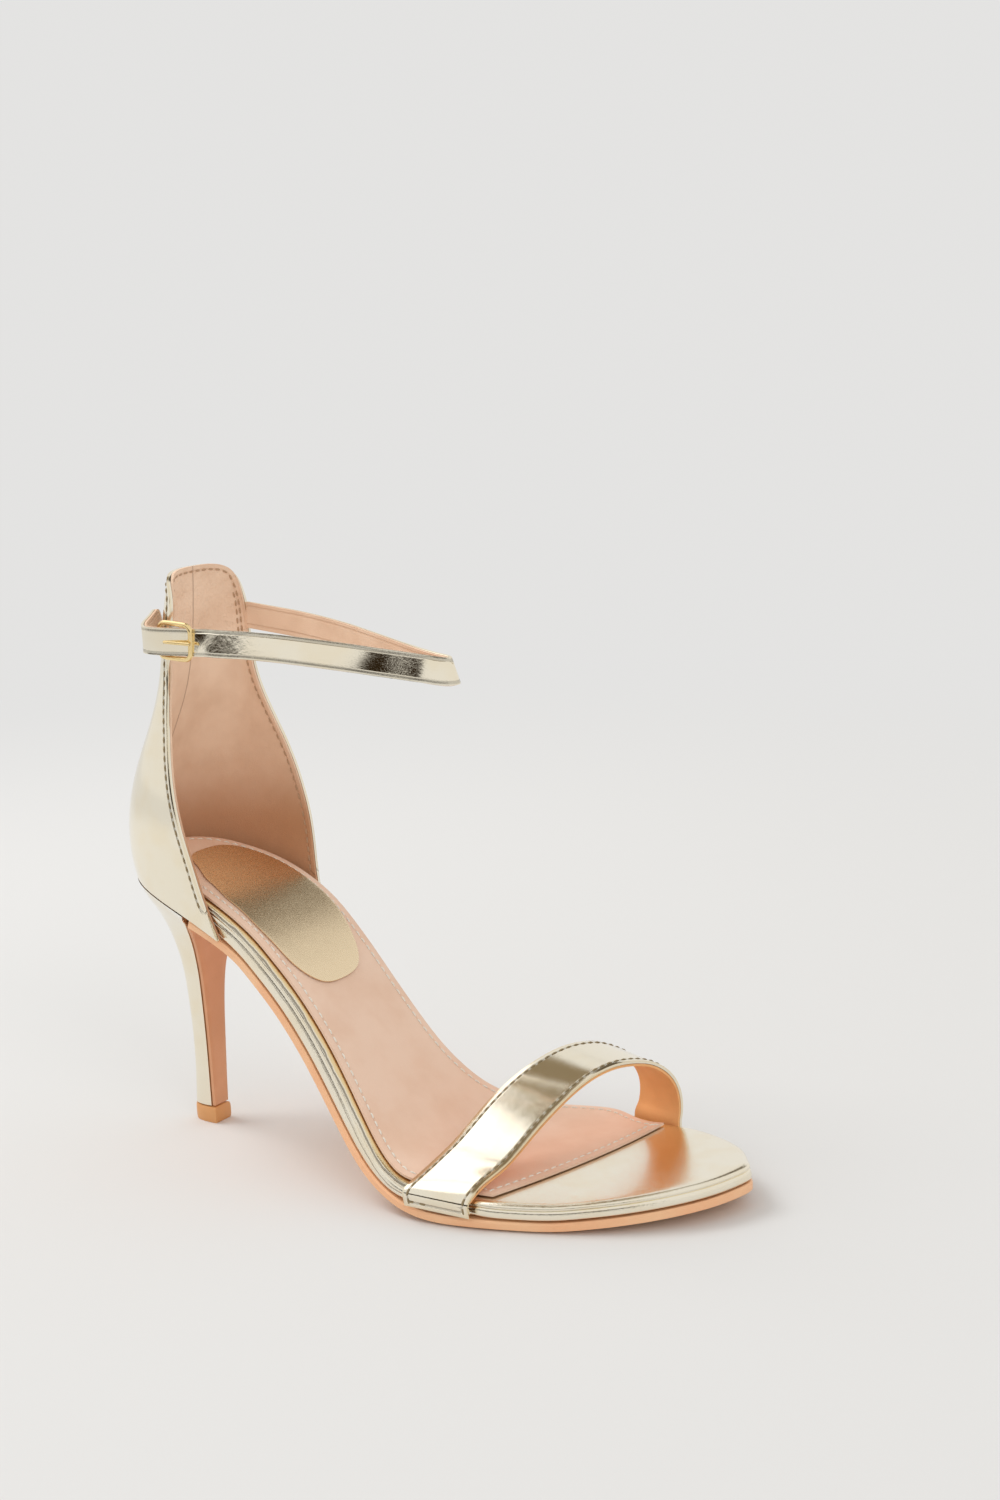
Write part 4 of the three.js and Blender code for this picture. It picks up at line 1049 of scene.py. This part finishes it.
class SANDAL_OT_sock(bpy.types.Operator):
    """Makes the stitched sock lining and the foil patch on it"""

    bl_idname = "sandal.sock"
    bl_label = "Sock and patch"

    def execute(self, context):
        margin = context.scene.sandal_stitching.sock_margin
        sock = copy_of("sock_lining", "sock_leather")
        crease(sock, 45)
        smoothed(sock)
        top = [f.index for f in sock.data.polygons if f.normal.z > 0.5]
        lines = border(sock, top)[:1]
        mark_edge(sock, lines)
        mark_edge(bpy.data.objects["wrapped_board"], parts_of(lines, behind_toes), "from_sock")
        dress(sock, finish_of("sock"), "lining_peach", "sock_lining")
        skin = surface_of(sock)
        sew("sock_stitches", rows_beside(lines, margin), skin, finish_of("sock_thread"))

        patch = copy_of("heel_sock_patch", "foil_patch")
        crease(patch, 60)
        smoothed(patch)
        cut_patch(patch, skin)
        dress(patch, finish_of("patch"), "gold_foil_leather", "heel_sock_patch")
        return {"FINISHED"}


class SANDAL_OT_counter(bpy.types.Operator):
    """Makes the foil counter, its lining and the rows of stitches along its edges"""

    bl_idname = "sandal.counter"
    bl_label = "Counter"

    def execute(self, context):
        sizes = context.scene.sandal_stitching
        wall = copy_of("counter", "counter_rims")
        crease(wall, 50)
        smoothed(wall)
        groups = patches(wall, 50)
        outside, inside = groups[0], groups[1]
        faces = wall.data.polygons
        reach = [sum(abs(faces[i].center.y) for i in g) / len(g) for g in (outside, inside)]
        if reach[0] < reach[1]:
            outside, inside = inside, outside
        shell = take_faces(wall, outside, "counter_foil")
        groups = patches(wall, 50)
        lining = take_faces(wall, groups[0], "counter_lining")
        bpy.data.objects.remove(wall)
        edges = border(shell)
        inner_edges = border(lining)
        skin = surface_of(shell)
        lining_skin = surface_of(lining)
        thickened(shell, sizes.outer)
        thickened(lining, sizes.lining)
        mark_edge(shell, parts_of(edges, above_board))
        mark_edge(lining, parts_of(inner_edges, above_board))
        rounded(shell, EDGE_ROUND, angle=50)
        rounded(lining, THIN_ROUND, angle=50)
        dress(shell, finish_of("foil"), "gold_foil_leather", "counter")
        dress(lining, finish_of("counter_lining"), "lining_peach")
        rows = rows_beside(edges[:1], sizes.margin, above_board)
        rows += rows_beside(edges[:1], sizes.margin * TAB_ROW, on_tab)
        sew("counter_stitches", rows, skin, finish_of("foil_thread"))
        rows = rows_beside(inner_edges[:1], sizes.margin, above_board)
        rows += rows_beside(inner_edges[:1], sizes.margin * TAB_ROW, on_tab)
        rows += rows_beside(inner_edges[:1], sizes.margin * FLAP_ROW, on_flap)
        sew("lining_stitches", rows, lining_skin, finish_of("lining_thread"))
        return {"FINISHED"}


class SANDAL_OT_vamp_strap(bpy.types.Operator):
    """Makes the band over the toes: foil outside, lining inside, two rows of stitches"""

    bl_idname = "sandal.vamp_strap"
    bl_label = "Vamp strap"

    def execute(self, context):
        sizes = context.scene.sandal_stitching
        band = copy_of("vamp_strap", "vamp_rims")
        crease(band, 50)
        smoothed(band, 3)
        groups = patches(band, 50)
        faces = band.data.polygons
        tall = [max(faces[i].center.z for i in g) for g in groups[:2]]
        outside = groups[0] if tall[0] > tall[1] else groups[1]
        shell = take_faces(band, outside, "vamp_foil")
        lining = take_faces(band, patches(band, 50)[0], "vamp_lining")
        bpy.data.objects.remove(band)
        edges = border(shell)
        skin = surface_of(shell)
        thickened(shell, sizes.outer * 0.85)
        thickened(lining, sizes.lining * 0.9)
        mark_edge(shell, edges)
        mark_edge(lining, edges)
        rounded(shell, VAMP_ROUND, angle=50)
        dress(shell, finish_of("foil"), "gold_foil_leather", "vamp_strap")
        dress(lining, finish_of("vamp_lining"), "lining_peach")
        sew("vamp_stitches", rows_beside(edges, sizes.margin, above_sole), skin, finish_of("foil_thread"))
        return {"FINISHED"}


class SANDAL_OT_ankle_strap(bpy.types.Operator):
    """Makes the ankle strap of foil and lining, the prong's slot and the stitches"""

    bl_idname = "sandal.ankle_strap"
    bl_label = "Ankle strap"

    def execute(self, context):
        sizes = context.scene.sandal_stitching
        route = line_points(STRAP_LINE, 4)
        margin = sizes.margin * STRAP_MARGIN_SHARE
        shell = ribbon("strap_foil", route, sizes.strap_width, STRAP_FOIL_LIFT, STRAP_CROWN)
        edges = border(shell)
        skin = surface_of(shell)
        lining = ribbon("strap_lining", route, sizes.strap_width, STRAP_LINING_LIFT, 0.0)
        inner_edges = border(lining)
        inner_skin = surface_of(lining)
        layers = ((shell, edges, STRAP_FOIL_WALL), (lining, inner_edges, STRAP_LINING_WALL))
        for piece, lines, wall in layers:
            thickened(piece, wall, False)
            mark_edge(piece, lines)
            punch_slot(piece)
        rounded(shell, THIN_ROUND, angle=50)
        dress(shell, finish_of("foil_strap"), "gold_foil_leather", "ankle_strap")
        dress(lining, finish_of("strap_lining"), "lining_peach")
        rows = rows_beside(edges, margin, off_counter)
        sew("strap_stitches", rows, skin, finish_of("foil_thread"), size=STRAP_STITCH_SHARE)
        rows = rows_beside(inner_edges, margin, off_counter)
        thread = finish_of("lining_thread")
        sew("strap_inner_stitches", rows, inner_skin, thread, STRAP_LINING_WALL, STRAP_STITCH_SHARE, True)
        return {"FINISHED"}


class SANDAL_OT_buckle(bpy.types.Operator):
    """Makes the plated buckle, its prong and the elastic tab that holds it"""

    bl_idname = "sandal.buckle"
    bl_label = "Buckle"

    def execute(self, context):
        for node, name in (("buckle_frame", "buckle_wire"), ("buckle_prong", "prong_wire")):
            dressed_copy(node, name, 70, "buckle", "buckle_gold", angle=60)
        dressed_copy("buckle_tab", "elastic_tab", 50, "elastic", "elastic_cream", 1, ELASTIC_ROUND)
        return {"FINISHED"}


class SANDAL_OT_stage(bpy.types.Operator):
    """Lays the floor and sets the light and the camera"""

    bl_idname = "sandal.stage"
    bl_label = "Stage"

    def execute(self, context):
        settings = context.scene.sandal_stage
        bpy.ops.object.select_all(action="DESELECT")
        bpy.ops.mesh.primitive_plane_add(size=FLOOR_SIZE, location=(0.0, 0.0, 0.0))
        floor = context.object
        floor.name = floor.data.name = "studio_floor"
        made, g = finish_named("studio_paper")
        cloud = g.noise(g.place(), 0.004, 2.0)
        shade = tuple(settings.floor)
        near = g.node(
            "ShaderNodeBsdfPrincipled",
            {},
            {
                "Base Color": g.mix(cloud * 0.06, shade, toned(shade, 0.9)),
                "Roughness": 0.9,
                "Specular IOR Level": 0.1,
            },
        )
        far = g.node("ShaderNodeEmission", {}, {"Color": tuple(settings.backdrop), "Strength": 1.0})
        reach = g.node("ShaderNodeVectorMath", {"operation": "LENGTH"}, {0: g.place()}, out=1)
        both = g.node("ShaderNodeMixShader", {}, {0: reach.between(*FLOOR_FADE), 1: near, 2: far})
        g.node("ShaderNodeOutputMaterial", {}, {"Surface": both})
        floor.data.materials.append(made)

        world = bpy.data.worlds.new("studio_sky")
        context.scene.world = world
        world.use_nodes = True
        g = Graph(world.node_tree)
        way = g.node("ShaderNodeTexCoord", out=0)
        parts = [g.node("ShaderNodeSeparateXYZ", {}, {0: way}, out=k) for k in range(3)]
        level = parts[2].math("ARCSINE") * (180 / math.pi)
        around = parts[1].math("ARCTAN2", parts[0]) * (180 / math.pi)
        shade = tuple(settings.paper)
        for azimuth, reach, soft, low, high, fade, tint in CARDS:
            aside = (around - azimuth).math("WRAP", 180.0, -180.0).math("ABSOLUTE")
            beside = 1 - aside.between(reach, reach + soft)
            card = beside * level.between(low - fade, low) * (1 - level.between(high, high + fade))
            shade = g.mix(card, shade, tint)
        mirrored = g.node("ShaderNodeLightPath", out=3)
        seen = g.node("ShaderNodeLightPath", out=0)
        shade = g.mix(mirrored, tuple(c * settings.matt_share for c in settings.paper), shade)
        shade = g.mix(seen, shade, tuple(c / settings.sky for c in settings.backdrop))
        light = g.node("ShaderNodeBackground", {}, {"Color": shade, "Strength": settings.sky})
        g.node("ShaderNodeOutputWorld", {}, {"Surface": light})

        for name, azimuth, elevation, distance, size, share in LAMPS:
            a, e = math.radians(azimuth), math.radians(elevation)
            away = Vector((math.cos(a) * math.cos(e), math.sin(a) * math.cos(e), math.sin(e)))
            bpy.ops.object.light_add(type="AREA", location=LIT_POINT + away * distance)
            lamp = context.object
            lamp.name = name
            lamp.data.shape = "SQUARE"
            lamp.data.size = size
            lamp.visible_glossy = False
            lamp.data.energy = settings.key * share
            lamp.rotation_mode = "QUATERNION"
            lamp.rotation_quaternion = (-away).to_track_quat("-Z", "Y")

        a, e, r = (math.radians(angle) for angle in (CAMERA_TURN, CAMERA_TILT, CAMERA_ROLL))
        back = Vector((math.sin(a) * math.cos(e), -math.cos(a) * math.cos(e), math.sin(e)))
        right = Vector((math.cos(a), math.sin(a), 0.0))
        up = right.cross(-back)
        right, up = (
            right * math.cos(r) + up * math.sin(r),
            up * math.cos(r) - right * math.sin(r),
        )
        bpy.ops.object.camera_add()
        camera = context.object
        camera.name = "studio_camera"
        turn = Matrix((right, up, back)).transposed().to_4x4()
        camera.matrix_world = Matrix.Translation(CAMERA_PLACE) @ turn
        camera.data.sensor_fit = "AUTO"
        camera.data.sensor_width = SENSOR
        camera.data.lens = SENSOR * CAMERA_FOCUS / PICTURE_HEIGHT
        camera.data.clip_start = 0.01
        context.scene.camera = camera
        context.scene.view_settings.view_transform = "Standard"
        return {"FINISHED"}


class SANDAL_PT_panel(bpy.types.Panel):
    """Lists the steps and settings of the sandal"""

    bl_idname = "SANDAL_PT_panel"
    bl_label = "Sandal"
    bl_space_type = "VIEW_3D"
    bl_region_type = "UI"
    bl_category = "Sandal"

    def draw(self, context):
        for step in STEPS:
            self.layout.operator(step.bl_idname)
        for group in ("sandal_finish", "sandal_stitching", "sandal_stage"):
            settings = getattr(context.scene, group)
            box = self.layout.box()
            for name in settings.__annotations__:
                box.prop(settings, name)


STEPS = (
    SANDAL_OT_heel,
    SANDAL_OT_sole,
    SANDAL_OT_sock,
    SANDAL_OT_counter,
    SANDAL_OT_vamp_strap,
    SANDAL_OT_ankle_strap,
    SANDAL_OT_buckle,
    SANDAL_OT_stage,
)
GROUPS = {
    "sandal_finish": SandalFinish,
    "sandal_stitching": SandalStitching,
    "sandal_stage": SandalStage,
}


def register():
    for made in (*GROUPS.values(), *STEPS, SANDAL_PT_panel):
        bpy.utils.register_class(made)
    for name, made in GROUPS.items():
        setattr(bpy.types.Scene, name, bpy.props.PointerProperty(type=made))


def unregister():
    for name in GROUPS:
        delattr(bpy.types.Scene, name)
    for made in reversed((*GROUPS.values(), *STEPS, SANDAL_PT_panel)):
        bpy.utils.unregister_class(made)


def main():
    register()
    for step in STEPS:
        group, name = step.bl_idname.split(".")
        getattr(getattr(bpy.ops, group), name)()


if __name__ == "__main__":
    main()
